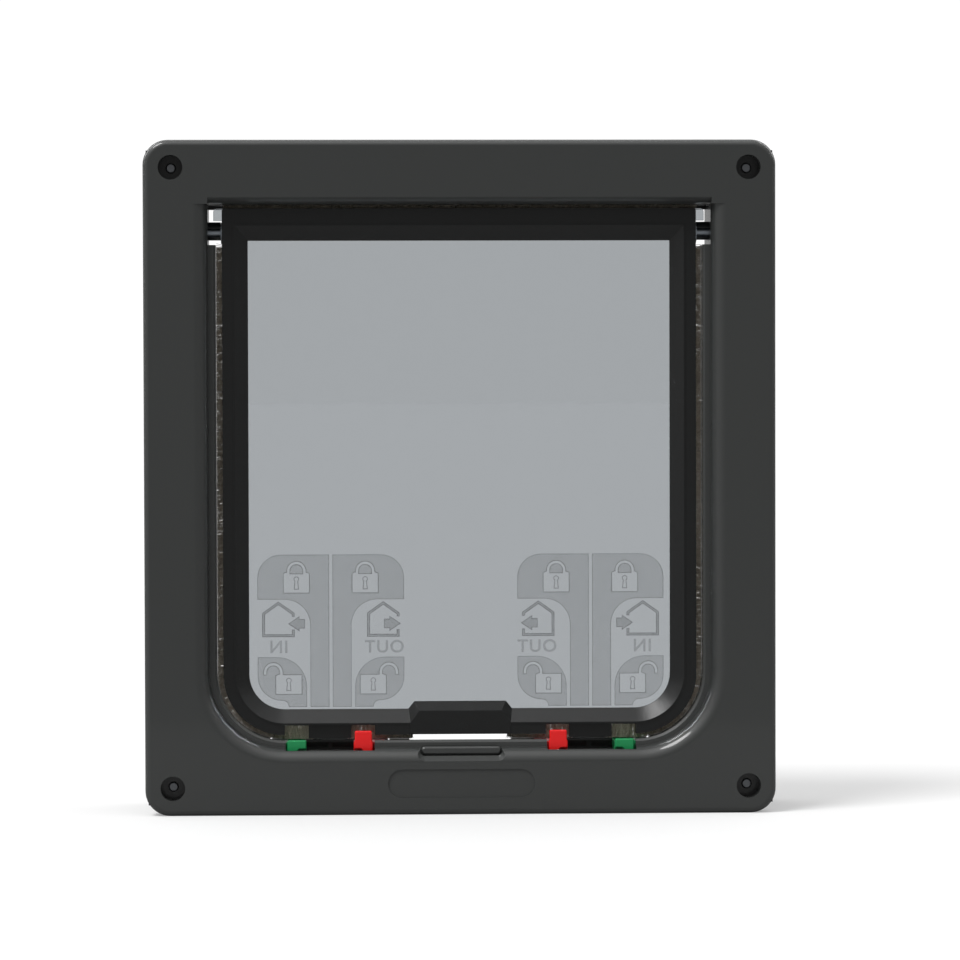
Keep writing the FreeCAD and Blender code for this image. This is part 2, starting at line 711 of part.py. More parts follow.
def surround():
    """Front half of the flap's black frame: outer band, crest, inner bevel, housing, teeth and windows."""
    edge = panel_points(FLAP_HALF_WIDTH, FLAP_BOTTOM, FLAP_TOP, FLAP_CORNER_R, FLAP_TOP_CORNER_R)
    body = slab(edge, CREST_FRONT, PANEL_FRONT).cut(outer_band())
    body = fuse([body.cut(window_cutter()), magnet_housing()])
    half = HOUSING_HALF_WIDTH
    body = body.cut(block(-half, half, CREST_FRONT - 1, FLAP_Y, FLAP_BOTTOM - 1, HOUSING_BOTTOM))

    # Lock windows, and the tooth between them, which is set back from the lip
    for side in SIDES:
        x = side * TOOTH_X
        reach = TOOTH_HALF_WIDTH + WINDOW_WIDTH
        half = TOOTH_HALF_WIDTH
        windows = block(x - reach, x + reach, CREST_FRONT - 1, FLAP_Y, FLAP_BOTTOM - 1, WINDOW_TOP)
        tooth = block(x - half, x + half, CREST_FRONT + TOOTH_SETBACK, FLAP_Y, FLAP_BOTTOM, WINDOW_TOP + 1)
        body = fuse([body.cut(windows), tooth])

    # Seats for the magnet and the hinge pins
    half = MAGNET_LENGTH / 2 + MAGNET_GAP
    width = MAGNET_WIDTH / 2 + MAGNET_GAP
    low = HOUSING_BOTTOM + MAGNET_FLOOR - MAGNET_GAP
    cutters = [block(-half, half, FLAP_Y - width, FLAP_Y, low, low + MAGNET_HEIGHT + 2 * MAGNET_GAP)]
    for side in SIDES:
        start = Vector(side * (FLAP_HALF_WIDTH - PIN_SEAT), FLAP_Y, PIVOT_Z)
        cutters.append(Part.makeCylinder(PIN_R + PIN_SEAT_GAP, PIN_SEAT + 1, start, AXIS_X * side))
    return body.cut(cutters)


def panel_margin_points():
    """Outline of the panel's hidden edge, inside the surrounds and clear of the pile's root."""
    return panel_points(
        FLAP_HALF_WIDTH - PANEL_MARGIN,
        FLAP_BOTTOM + PANEL_MARGIN + HIDDEN_EDGE_RISE,
        FLAP_TOP - PANEL_TOP_MARGIN,
        FLAP_CORNER_R - PANEL_MARGIN,
    )


def flap_panel():
    """Clear sheet with an ear at each top corner that steadies the flap in its opening."""
    sheet = slab(panel_margin_points(), PANEL_FRONT, PANEL_BACK)
    ears = []
    for side in SIDES:
        x0, x1 = sorted((side * (FLAP_HALF_WIDTH - EAR_ROOT_DEPTH), side * EAR_HALF_WIDTH))
        ear = block(x0, x1, PANEL_FRONT, PANEL_BACK, FLAP_TOP - EAR_HEIGHT, FLAP_TOP)
        tip = side * EAR_HALF_WIDTH
        ears.append(
            round_edges(
                ear,
                EAR_CORNER_R,
                lambda b, tip=tip: abs(b.XMin - tip) < 1e-4
                and abs(b.XMax - tip) < 1e-4
                and b.ZMin > FLAP_TOP - 1e-3
                and b.YLength > 1,
            )
        )
    body = fuse([sheet] + ears)
    half = MAGNET_LENGTH / 2 + MAGNET_FLOOR
    low = FLAP_BOTTOM + PANEL_MARGIN
    high = HOUSING_BOTTOM + MAGNET_HEIGHT + 2 * MAGNET_FLOOR
    return body.cut(block(-half, half, PANEL_FRONT - 1, PANEL_BACK + 1, low, high))


def magnet(low):
    """Bar magnet under the flap's middle plane, with its lower face at this height."""
    half = MAGNET_LENGTH / 2
    width = MAGNET_WIDTH / 2
    return block(-half, half, FLAP_Y - width, FLAP_Y + width, low, low + MAGNET_HEIGHT)


def pile_ring():
    """Pile seal round the sides, lower corners and sill, as a band that stands out of the flap's edge."""
    y0 = FLAP_Y - PILE_THICKNESS / 2
    y1 = FLAP_Y + PILE_THICKNESS / 2
    outer = panel_points(
        OPENING_HALF_WIDTH - LIP_HEIGHT - PILE_CLEARANCE,
        LIP_SILL + PILE_CLEARANCE,
        FLAP_TOP,
        OPENING_CORNER_R - LIP_HEIGHT - PILE_CLEARANCE,
    )
    inner = panel_points(
        FLAP_HALF_WIDTH - PILE_ROOT,
        FLAP_BOTTOM + PILE_ROOT + HIDDEN_EDGE_RISE,
        FLAP_TOP + 1,
        FLAP_CORNER_R - PILE_ROOT,
    )
    ring = slab(outer, y0, y1).cut(slab(inner, y0 - 1, y1 + 1))
    return ring.cut(block(-FRAME_WIDTH, FRAME_WIDTH, y0 - 1, y1 + 1, LIP_TOP, FRAME_HEIGHT))


def between_x(shape, x0, x1):
    """The part of a shape between two places along X."""
    return shape.common(block(x0, x1, FRONT_FACE, REAR_FACE, 0, FRAME_HEIGHT))


def side_brush(side):
    """Pile of one side, from under the hinge down to the tooth."""
    x0, x1 = sorted((side * (TOOTH_X + TOOTH_HALF_WIDTH + SLIDE_CLEARANCE), side * FRAME_WIDTH / 2))
    return between_x(pile_ring(), x0, x1)


def sill_brush(side):
    """Short pile between the tooth and the magnet housing."""
    x0, x1 = sorted((side * PILE_GAP_CENTRE, side * (TOOTH_X - TOOTH_HALF_WIDTH - SLIDE_CLEARANCE)))
    return between_x(pile_ring(), x0, x1)


def top_brush():
    """Pile along the flap's top edge."""
    half = FLAP_HALF_WIDTH - PILE_TOP_INSET
    low = FLAP_TOP - PANEL_TOP_MARGIN + PILE_CLEARANCE
    y0 = FLAP_Y - PILE_THICKNESS / 2
    return block(-half, half, y0, y0 + PILE_THICKNESS, low, FLAP_TOP + PILE_TOP_REACH)


def tab_plate(top, flared):
    """Finger tab round x = 0, with its lower edge stepped and, on the tall one, a wider foot."""
    half = TAB_WIDTH / 2
    neck = half - TAB_FLARE if flared else half
    shoulder = min(FLARE_TOP, top)
    points = [
        (-half, TAB_BOTTOM + TAB_STEP),
        (-TAB_STEP, TAB_BOTTOM + TAB_STEP),
        (0.0, TAB_BOTTOM),
        (half, TAB_BOTTOM),
        (half, shoulder - FLARE_RISE),
        (neck, shoulder),
        (neck, top),
        (-neck, top),
        (-neck, shoulder),
        (-half, shoulder - FLARE_RISE),
    ]
    if not flared:
        points = points[:4] + [(half, top), (-half, top)]
    plate = slab(points, TAB_FRONT, TAB_BACK)
    return bevel_edges(
        plate,
        TAB_EDGE_CHAMFER,
        lambda b: abs(b.YMax - TAB_FRONT) < 1e-4 or (b.YLength > 1 and b.ZMin > top - 0.01),
    )


def lock(side, outward):
    """Slider at its open place. An outward lock stands before the flap, the other kind behind it."""
    top = NIB_TOP if outward else IN_TAB_TOP
    plate = tab_plate(top, outward)
    half = TAB_WIDTH / 2
    foot_low = OPENING_FLOOR + FOOT_BOTTOM_GAP
    foot_front = LIP_FRONT + LIP_WALL + FOOT_GAP
    tongue_end = RAIL_FRONT + TONGUE_REACH
    neck = block(-half, half, TAB_BACK - NECK_ROOT, foot_front + 1, foot_low + 1, FOOT_TOP)
    foot = block(-half, half + FOOT_EXTENSION, foot_front, NIB_BACK, foot_low, FOOT_TOP)
    tongue = block(-half, half, NIB_BACK - 1, tongue_end, TONGUE_BOTTOM, TONGUE_BOTTOM + TONGUE_HEIGHT)
    parts = [plate, neck, foot, tongue]
    if not outward:
        nib = block(-half, half, NIB_FRONT, NIB_BACK, FOOT_TOP - 1, NIB_TOP)
        nib = bevel_edges(nib, TAB_EDGE_CHAMFER, lambda b: b.ZMin > NIB_TOP - 0.01 and b.XLength > 1)
        parts.append(nib)
    body = fuse(parts)
    # The foot points away from the tooth, towards the middle of the sill on the outward lock
    away = -side if outward else side
    if away < 0:
        body = mirror_x(body)
    body.translate(Vector(side * TOOTH_X + away * LOCK_OPEN_OFFSET, 0, 0))
    return body


def lock_rail(side):
    """Guide behind the flap: a bar on two pegs, whose grooves stop the travel of the sliders' tongues."""
    x = side * TOOTH_X
    half = RAIL_HALF_LENGTH
    rail = block(x - half, x + half, RAIL_FRONT, RAIL_BACK, OPENING_FLOOR, RAIL_TOP)
    rail = bevel_edges(rail, RAIL_CHAMFER, lambda b: b.ZMin > RAIL_TOP - 0.01 and b.XLength > 1)
    inner = LOCK_OPEN_OFFSET - LOCK_TRAVEL - TAB_WIDTH / 2 - STOP_GAP
    outer = LOCK_OPEN_OFFSET + TAB_WIDTH / 2 + STOP_GAP
    grooves = []
    for way in SIDES:
        x0, x1 = sorted((x + way * inner, x + way * outer))
        grooves.append(
            block(
                x0,
                x1,
                RAIL_FRONT - 1,
                RAIL_FRONT + TONGUE_REACH + TONGUE_GAP,
                TONGUE_BOTTOM - TONGUE_GAP,
                TONGUE_BOTTOM + TONGUE_HEIGHT + TONGUE_GAP,
            )
        )
    return fuse([rail.cut(grooves)] + rail_pegs(x, 0))


def catch_bar():
    """Pill-shaped bar that fills the sill's pocket."""
    y1 = FRONT_FACE + CATCH_DEPTH
    bar = slab(
        stadium(CATCH_HALF_LENGTH - CATCH_GAP, CATCH_Z, CATCH_HALF_HEIGHT - CATCH_GAP),
        y1 - CATCH_BAR_THICKNESS,
        y1,
    )
    return bevel_edges(bar, CATCH_BAR_CHAMFER, lambda b: b.YMax < y1 - CATCH_BAR_THICKNESS + 1e-3)


def main():
    """Write every piece."""
    os.makedirs("parts", exist_ok=True)
    save("front_frame", [front_frame()])
    save("rear_frame", [rear_frame()])
    save("fixing_screws", fixing_screws())
    save("catch_bar", [catch_bar()])
    save("sill_magnet", [magnet(LIP_SILL - 2 * MAGNET_FLOOR - MAGNET_HEIGHT)])
    half = surround()
    save("front_surround", [half])
    save("rear_surround", [mirror_flap(half)])
    save("flap_panel", [flap_panel()])
    save("flap_magnet", [magnet(HOUSING_BOTTOM + MAGNET_FLOOR)])
    save("brush_top", [top_brush()])
    for side, name in zip(SIDES, ("left", "right")):
        save(f"hinge_bearing_{name}", [hinge_bearing(side)])
        save(f"hinge_pin_{name}", [hinge_pin(side)])
        save(f"brush_{name}", [side_brush(side)])
        save(f"brush_bottom_{name}", [sill_brush(side)])
        save(f"lock_rail_{name}", [lock_rail(side)])
        save(f"lock_out_{name}", [lock(side, True)])
        save(f"lock_in_{name}", [lock(side, False)])


main()
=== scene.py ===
"""Looks of the lockable cat flap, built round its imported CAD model.

The classes hold their sizes in millimetres, and a mesh is made in metres. X is to the right and Z is up.
The outer side, which the camera sees, faces -Y.
"""

import logging
import math
import random
from collections.abc import Callable, Sequence
from dataclasses import dataclass
from enum import Enum

import bpy
from mathutils import Matrix, Vector


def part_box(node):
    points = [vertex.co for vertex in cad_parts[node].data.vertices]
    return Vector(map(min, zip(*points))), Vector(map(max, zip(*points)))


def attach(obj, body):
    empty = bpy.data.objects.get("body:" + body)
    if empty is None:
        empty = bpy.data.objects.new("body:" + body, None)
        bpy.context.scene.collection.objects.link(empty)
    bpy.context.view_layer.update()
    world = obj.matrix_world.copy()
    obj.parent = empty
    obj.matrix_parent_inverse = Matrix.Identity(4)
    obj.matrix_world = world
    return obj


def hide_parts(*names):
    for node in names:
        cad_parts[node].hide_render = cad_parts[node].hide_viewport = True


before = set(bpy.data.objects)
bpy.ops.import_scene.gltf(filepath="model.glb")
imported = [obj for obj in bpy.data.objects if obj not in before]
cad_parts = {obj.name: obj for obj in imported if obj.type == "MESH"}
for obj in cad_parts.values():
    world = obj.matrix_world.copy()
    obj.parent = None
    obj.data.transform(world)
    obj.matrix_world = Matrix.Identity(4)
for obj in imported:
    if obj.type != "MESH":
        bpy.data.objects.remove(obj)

MM = 0.001
MERGE_GAP = 0.002
FLAT_ANGLE = 0.5
SMOOTH_ANGLE = 32.0
SHORTEST = 1e-9
MITRE_LEAST = 0.4
MITRE_LONGEST = 2.5
LOG = logging.getLogger("cat_flap")

Point = tuple[float, float]
Outline = list[Point]
Pieces = list[bpy.types.Object]
Rise = tuple[float, float, float]


class Body(Enum):
    """The bodies that move against each other."""

    FRAMES = "door_frames"
    FLAP = "flap"


class Side(Enum):
    """Left and right as the camera sees them, as the sign of X."""

    LEFT = -1
    RIGHT = 1


def linear(colour: str) -> tuple[float, float, float, float]:
    """Turn a colour as it is seen into the light that a shader works with, by the sRGB curve.

    Args:
        colour: sRGB hex value of six digits.

    Returns:
        Linear red, green, blue and full opacity.
    """
    channels = [int(colour[start:start + 2], 16) / 255 for start in (0, 2, 4)]
    red, green, blue = (c / 12.92 if c <= 0.04045 else ((c + 0.055) / 1.055) ** 2.4 for c in channels)
    return red, green, blue, 1.0


def add(
    tree: bpy.types.NodeTree,
    kind: str,
    inputs: dict[str | int, object] | None = None,
    **settings: object,
) -> bpy.types.Node:
    """Add one node with its settings, its values and its links.

    Args:
        tree: Node tree to add to.
        kind: Type of the node.
        inputs: Value, or another node's output, for each named input.
        settings: Properties of the node itself.

    Returns:
        The new node.
    """
    node = tree.nodes.new(kind)
    for name, value in settings.items():
        setattr(node, name, value)
    for name, value in (inputs or {}).items():
        if isinstance(value, bpy.types.NodeSocket):
            tree.links.new(value, node.inputs[name])
        else:
            node.inputs[name].default_value = value
    return node


def empty_material(name: str) -> bpy.types.Material:
    """Make a material whose node tree holds nothing yet.

    Args:
        name: Name of the material.

    Returns:
        The new material.
    """
    material = bpy.data.materials.new(name)
    material.use_nodes = True
    material.node_tree.nodes.clear()
    return material


def principled(tree: bpy.types.NodeTree, values: dict[str, object]) -> None:
    """Add a Principled shader with these values and join it to the material's output."""
    shader = add(tree, "ShaderNodeBsdfPrincipled", values)
    add(tree, "ShaderNodeOutputMaterial", {"Surface": shader.outputs["BSDF"]})


@dataclass(frozen=True)
class Grained:
    """Moulded or plated surface with a fine grain, as spark erosion or blasting leaves it in the tool.

    The grain breaks a highlight into small glints, and its relief sets how far they scatter.
    """

    name: str
    colour: str
    roughness: float
    grain: float
    relief: float
    metallic: float = 0.0
    ior: float = 1.5
    coat: float = 0.0
    coat_roughness: float = 0.06
    roughness_spread: float = 0.0
    noise_detail: float = 2.0
    noise_roughness: float = 0.6

    def material(self) -> bpy.types.Material:
        """Make the surface's material."""
        material = empty_material(self.name)
        tree = material.node_tree
        place = add(tree, "ShaderNodeTexCoord")
        noise = {
            "Vector": place.outputs["Object"],
            "Scale": 1 / (self.grain * MM),
            "Detail": self.noise_detail,
            "Roughness": self.noise_roughness,
        }
        grain = add(tree, "ShaderNodeTexNoise", noise)
        bump = add(tree, "ShaderNodeBump", {"Height": grain.outputs["Fac"], "Distance": self.relief * MM})
        values: dict[str, object] = {
            "Base Color": linear(self.colour),
            "Roughness": self.roughness,
            "Metallic": self.metallic,
            "IOR": self.ior,
            "Coat Weight": self.coat,
            "Coat Roughness": self.coat_roughness,
            "Normal": bump.outputs["Normal"],
        }
        if self.roughness_spread:
            span = {
                "Value": grain.outputs["Fac"],
                "To Min": self.roughness - self.roughness_spread,
                "To Max": self.roughness + self.roughness_spread,
            }
            values["Roughness"] = add(tree, "ShaderNodeMapRange", span).outputs["Result"]
        principled(tree, values)
        return material


@dataclass(frozen=True)
class ClearSheet:
    """Smoke-tinted acrylic sheet with polished faces.

    The eye sees a grey pane and what is behind it, with a sharp, weak reflection over both.
    """

    name: str
    colour: str
    roughness: float
    ior: float = 1.49

    def material(self) -> bpy.types.Material:
        """Make the sheet's material."""
        material = empty_material(self.name)
        values: dict[str, object] = {
            "Base Color": linear(self.colour),
            "Roughness": self.roughness,
            "IOR": self.ior,
            "Transmission Weight": 1.0,
        }
        principled(material.node_tree, values)
        return material


@dataclass(frozen=True)
class MattedRelief:
    """Matt stretch of the acrylic sheet, as an etched tool leaves it.

    The eye sees a thin veil that darkens what is behind.
    """

    name: str
    colour: str
    cover: float
    roughness: float = 0.6
    ior: float = 1.49

    def material(self) -> bpy.types.Material:
        """Make the veil's material."""
        material = empty_material(self.name)
        values: dict[str, object] = {
            "Base Color": linear(self.colour),
            "Roughness": self.roughness,
            "IOR": self.ior,
            "Alpha": self.cover,
        }
        principled(material.node_tree, values)
        return material


@dataclass(frozen=True)
class Pile:
    """Cut nylon pile: dull brown-grey threads, with pale specks mixed into the colour by noise as painted
    glints.
    """

    name: str
    dark: str
    # The light colour is a painted glint: pale specks that stand in for threads catching the light.
    light: str
    thread: float
    dark_share: float = 0.35
    painted_glint_share: float = 0.68
    roughness: float = 0.35
    ior: float = 1.53
    sheen: float = 0.2
    noise_detail: float = 1.0

    def material(self) -> bpy.types.Material:
        """Make the pile's material."""
        material = empty_material(self.name)
        tree = material.node_tree
        place = add(tree, "ShaderNodeTexCoord")
        where = place.outputs["Object"]
        noise = {"Vector": where, "Scale": 1 / (self.thread * MM), "Detail": self.noise_detail}
        mix = add(tree, "ShaderNodeTexNoise", noise)
        # Noise mixes the thread colour with pale specks, which are painted glints.
        ramp = add(tree, "ShaderNodeValToRGB", {"Fac": mix.outputs["Fac"]})
        stops = ((self.dark_share, self.dark), (self.painted_glint_share, self.light))
        for element, (position, colour) in zip(ramp.color_ramp.elements, stops):
            element.position = position
            element.color = linear(colour)
        values: dict[str, object] = {
            "Base Color": ramp.outputs["Color"],
            "Roughness": self.roughness,
            "IOR": self.ior,
            "Sheen Weight": self.sheen,
        }
        principled(tree, values)
        return material


# Grains are drawn two or three times as coarse as the real ones, which are too fine for a render to show.
# ABS from a finely blasted tool: dark and even, with a soft sheen and a sharper gloss where an edge turns
FRAME_ABS = Grained("frame_abs_satin_moulded", "2E302F", 0.5, 0.45, 0.003, coat=0.65)
# ABS from a spark-eroded tool: nearly black, with a leathery sparkle on every slope
SURROUND_ABS = Grained("surround_abs_spark_textured", "121313", 0.34, 0.5, 0.07, roughness_spread=0.1)
# Cast acrylic sheet, smoke-tinted: a flat grey over the bright background
SMOKED_ACRYLIC = ClearSheet("panel_acrylic_smoked", "9FA3A6", 0.02)
# The sheet's matt signs: fields a shade darker than the pane, fills darker, the darkest lines round both
MATTED_FIELD = MattedRelief("field_acrylic_matted", "5C6064", 0.12)
MATTED_LINE = MattedRelief("line_acrylic_matted", "34383B", 0.3)
MATTED_FILL = MattedRelief("fill_acrylic_matted", "50555A", 0.17)
# Cut nylon pile: a dull brown-grey band, dark between the threads, with pale specks painted into its colour
# as glints
NYLON_PILE = Pile("seal_nylon_pile_painted_glints", "AEA494", "F0E8DA", 0.4)
# Moulded ABS of the locks, satin: full, even colours with soft edges
RED_ABS = Grained("lock_abs_satin_red", "E60E10", 0.42, 0.6, 0.003)
GREEN_ABS = Grained("lock_abs_satin_green", "128C50", 0.42, 0.6, 0.003)
# Zinc-plated steel, its grey darkened as painted shade for the ends deep in the counterbores: a grey that
# still catches the key light
ZINC_STEEL = Grained("screw_steel_zinc_painted_shade", "94979B", 0.42, 0.3, 0.006, metallic=1.0)
# Nickel-plated magnet: a brighter, smoother grey, hardly seen
NICKEL_MAGNET = Grained("magnet_nickel_plated", "A9A7A2", 0.28, 0.4, 0.003, metallic=1.0)
# Satin-turned steel of the pins: a blue-grey streak along the top of the shank
PIN_STEEL = Grained("pin_steel_satin", "C4CCD4", 0.5, 0.3, 0.006, metallic=1.0)
# Moulded acetal of the bearings: black with a waxy shine
ACETAL = Grained("bearing_acetal_moulded", "14171A", 0.4, 0.4, 0.003)


def placed(name: str, data: bpy.types.ID) -> bpy.types.Object:
    """Make an object of this data and link it into the scene."""
    piece = bpy.data.objects.new(name, data)
    bpy.context.scene.collection.objects.link(piece)
    return piece


def select_only(piece: bpy.types.Object) -> None:
    """Deselect everything, then select one object and make it the active one."""
    bpy.ops.object.select_all(action="DESELECT")
    piece.select_set(True)
    bpy.context.view_layer.objects.active = piece


def apply_all(piece: bpy.types.Object) -> None:
    """Apply an object's modifiers in their order."""
    select_only(piece)
    for modifier in list(piece.modifiers):
        bpy.ops.object.modifier_apply(modifier=modifier.name)


def smooth_by_angle(piece: bpy.types.Object, angle: float) -> None:
    """Shade an object smooth where its faces meet under an angle, and let the large faces stay flat.

    Args:
        piece: Object to shade.
        angle: Sharpest angle that still looks rounded, in degrees.
    """
    select_only(piece)
    bpy.ops.object.shade_smooth_by_angle(angle=math.radians(angle))
    weighted = piece.modifiers.new("weighted", "WEIGHTED_NORMAL")
    weighted.keep_sharp = True
    apply_all(piece)


def dress(
    piece: bpy.types.Object,
    material: bpy.types.Material,
    body: str,
    replaces: Sequence[str] = (),
) -> None:
    """Give a finished piece its material, its body and the CAD nodes that it stands for.

    Args:
        piece: Finished object.
        material: Its surface.
        body: The body that it rides on.
        replaces: CAD nodes that it takes the place of.
    """
    piece.data.materials.clear()
    piece.data.materials.append(material)
    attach(piece, body)
    if replaces:
        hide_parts(*replaces)
    LOG.info("%s: %d faces", piece.name, len(piece.data.polygons))


def merged(node: str, name: str) -> bpy.types.Object:
    """Copy a CAD node and merge its triangles into whole faces.

    Args:
        node: CAD node to copy.
        name: Name of the new object.

    Returns:
        The new object.
    """
    piece = placed(name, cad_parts[node].data.copy())
    select_only(piece)
    bpy.ops.mesh.customdata_custom_splitnormals_clear()
    bpy.ops.object.mode_set(mode="EDIT")
    bpy.ops.mesh.select_all(action="SELECT")
    bpy.ops.mesh.remove_doubles(threshold=MERGE_GAP * MM)
    bpy.ops.mesh.dissolve_limited(angle_limit=math.radians(FLAT_ANGLE))
    bpy.ops.object.mode_set(mode="OBJECT")
    return piece


def soften(piece: bpy.types.Object, edge: float, segments: int = 2, angle: float = SMOOTH_ANGLE) -> None:
    """Round an object's sharp edges and shade it smoothly.

    Args:
        piece: Object to soften.
        edge: Width of the rounding, in millimetres.
        segments: Faces across the rounding.
        angle: Smallest angle between two faces whose edge is rounded, in degrees.
    """
    bevel = piece.modifiers.new("edges", "BEVEL")
    bevel.limit_method = "ANGLE"
    bevel.angle_limit = math.radians(angle)
    bevel.width = edge * MM
    bevel.segments = segments
    bevel.use_clamp_overlap = True
    apply_all(piece)
    smooth_by_angle(piece, SMOOTH_ANGLE)


def softened(node: str, name: str, edge: float) -> bpy.types.Object:
    """Copy a CAD node with whole faces and rounded edges.

    Args:
        node: CAD node to copy.
        name: Name of the new object.
        edge: Width of the rounding, in millimetres.

    Returns:
        The new object, smoothly shaded.
    """
    piece = merged(node, name)
    soften(piece, edge)
    return piece


def round_over(
    piece: bpy.types.Object,
    wanted: Callable[[Vector], bool],
    width: float,
    segments: int,
) -> None:
    """Round the edges of an object whose two ends both pass a test.

    Args:
        piece: Object to work on.
        wanted: Test of a place in the object.
        width: Width of the rounding, in millimetres.
        segments: Faces across the rounding.
    """
    select_only(piece)
    bpy.ops.object.mode_set(mode="EDIT")
    bpy.ops.mesh.select_mode(type="EDGE")
    bpy.ops.mesh.select_all(action="DESELECT")
    bpy.ops.object.mode_set(mode="OBJECT")
    chosen = [wanted(vertex.co) for vertex in piece.data.vertices]
    for edge in piece.data.edges:
        edge.select = all(chosen[index] for index in edge.vertices)
    bpy.ops.object.mode_set(mode="EDIT")
    bpy.ops.mesh.bevel(offset=width * MM, segments=segments, profile=0.5, affect="EDGES")
    bpy.ops.object.mode_set(mode="OBJECT")


def disc(name: str, radius: float, height: float, sides: int) -> bpy.types.Object:
    """Make a round disc about the origin, with its axis along Z.

    Args:
        name: Name of the object.
        radius: Its radius, in millimetres.
        height: Its height.
        sides: Faces round it.

    Returns:
        The new object.
    """
    bpy.ops.object.select_all(action="DESELECT")
    bpy.ops.mesh.primitive_cylinder_add(vertices=sides, radius=radius * MM, depth=height * MM)
    piece = bpy.context.active_object
    piece.name = name
    return piece


def arc(centre: Point, radius: float, start: float, end: float, steps: int = 10) -> Outline:
    """Points along an arc, both ends included.

    Args:
        centre: Middle of the arc.
        radius: Its radius.
        start: Angle at its first point, in degrees.
        end: Angle at its last point.
        steps: Stretches that it is divided into.

    Returns:
        The points in their order.
    """
    turns = [math.radians(start + (end - start) * step / steps) for step in range(steps + 1)]
    return [(centre[0] + radius * math.cos(turn), centre[1] + radius * math.sin(turn)) for turn in turns]


def offset(points: Outline, distance: float, closed: bool) -> Outline:
    """Move a line sideways, to its left, with mitred corners that are held back where the line turns sharply.

    Args:
        points: Points of the line.
        distance: How far it moves, negative to the right.
        closed: Whether the last point joins the first.

    Returns:
        As many points as before.
    """
    count = len(points)
    moved = []
    for index, (x, z) in enumerate(points):
        before = points[index - 1] if closed or index else points[index]
        after = points[(index + 1) % count] if closed or index < count - 1 else points[index]
        ways = []
        for (x0, z0), (x1, z1) in ((before, (x, z)), ((x, z), after)):
            length = math.hypot(x1 - x0, z1 - z0)
            if length > SHORTEST:
                ways.append(Vector(((z0 - z1) / length, (x1 - x0) / length)))
        normal = (ways[0] + ways[-1]).normalized()
        mitre = distance / max(normal.dot(ways[0]), MITRE_LEAST)
        reach = min(mitre, MITRE_LONGEST * abs(distance), key=abs)
        moved.append((x + normal.x * reach, z + normal.y * reach))
    return moved


def ribbon(points: Outline, width: float, closed: bool = True) -> list[Outline]:
    """Outlines of a band of even width along a line.

    Args:
        points: Middle of the band.
        width: Its width.
        closed: Whether the band joins its own start.

    Returns:
        Two outlines, one in the other, for a closed band, and one for an open band.
    """
    left = offset(points, width / 2, closed)
    right = offset(points, -width / 2, closed)
    return [left, right] if closed else [left + right[::-1]]


def cut_sheet(name: str, outlines: Sequence[Outline], front: float, back: float) -> bpy.types.Object:
    """Cut a thin sheet to outlines in the flap's plane. An outline inside another is a hole.

    Args:
        name: Name of the object.
        outlines: Closed outlines in X and Z, in millimetres.
        front: Place of the front face along Y.
        back: Place of the back face.

    Returns:
        The sheet as a mesh in its place.
    """
    curve = bpy.data.curves.new(name, "CURVE")
    curve.dimensions = "2D"
    curve.fill_mode = "BOTH"
    curve.extrude = (back - front) / 2 * MM
    for outline in outlines:
        spline = curve.splines.new("POLY")
        spline.points.add(len(outline) - 1)
        spline.use_cyclic_u = True
        for point, (x, z) in zip(spline.points, outline):
            point.co = (x * MM, z * MM, 0, 1)
    return stand_up(placed(name, curve), (front + back) / 2)


def stand_up(
    flat: bpy.types.Object,
    depth: float,
    mirror: bool = False,
    shift: Point = (0.0, 0.0),
) -> bpy.types.Object:
    """Turn a flat curve or text into a mesh that stands in the flap's plane.

    Args:
        flat: Curve or text in its own XY plane.
        depth: Place of its middle along Y, in millimetres.
        mirror: Whether it is turned about, so that it reads from indoors.
        shift: How far it moves along X and Z, in millimetres.

    Returns:
        The object, now a mesh.
    """
    select_only(flat)
    bpy.ops.object.convert(target="MESH")
    piece = bpy.context.view_layer.objects.active
    turn = Matrix.Rotation(math.radians(90), 4, "X")
    if mirror:
        turn = Matrix.Rotation(math.radians(180), 4, "Z") @ turn
    piece.data.transform(Matrix.Translation((shift[0] * MM, depth * MM, shift[1] * MM)) @ turn)
    bpy.ops.object.mode_set(mode="EDIT")
    bpy.ops.mesh.select_all(action="SELECT")
    bpy.ops.mesh.remove_doubles(threshold=MERGE_GAP * MM)
    bpy.ops.mesh.normals_make_consistent(inside=False)
    bpy.ops.object.mode_set(mode="OBJECT")
    return piece


def joined(name: str, pieces: Sequence[bpy.types.Object]) -> bpy.types.Object:
    """Join several objects into the first of them.

    Args:
        name: Name of the whole.
        pieces: Objects to join.

    Returns:
        The one object that is left.
    """
    select_only(pieces[0])
    for piece in pieces[1:]:
        piece.select_set(True)
    bpy.ops.object.join()
    pieces[0].name = name
    pieces[0].data.name = name
    return pieces[0]


@dataclass
class DoorFrames:
    """The two frames that clamp the door, and what sits in them."""

    mould_edge: float = 0.3
    small_edge: float = 0.15

    def build(self) -> None:
        """Dress the frames, the guide rails, the catch bar, the bearings and the magnet in the sill."""
        shell = FRAME_ABS.material()
        for node in ("front_frame", "rear_frame"):
            piece = softened(node, f"{node}_moulding", self.mould_edge)
            dress(piece, shell, Body.FRAMES.value, [node])
        for node in ("catch_bar", "lock_rail_left", "lock_rail_right"):
            piece = softened(node, f"{node}_moulding", self.small_edge)
            dress(piece, shell, Body.FRAMES.value, [node])
        acetal = ACETAL.material()
        for side in Side:
            node = f"hinge_bearing_{side.name.lower()}"
            piece = softened(node, f"{node}_collar", self.small_edge)
            dress(piece, acetal, Body.FRAMES.value, [node])
        piece = softened("sill_magnet", "sill_magnet_bar", self.mould_edge)
        dress(piece, NICKEL_MAGNET.material(), Body.FRAMES.value, ["sill_magnet"])


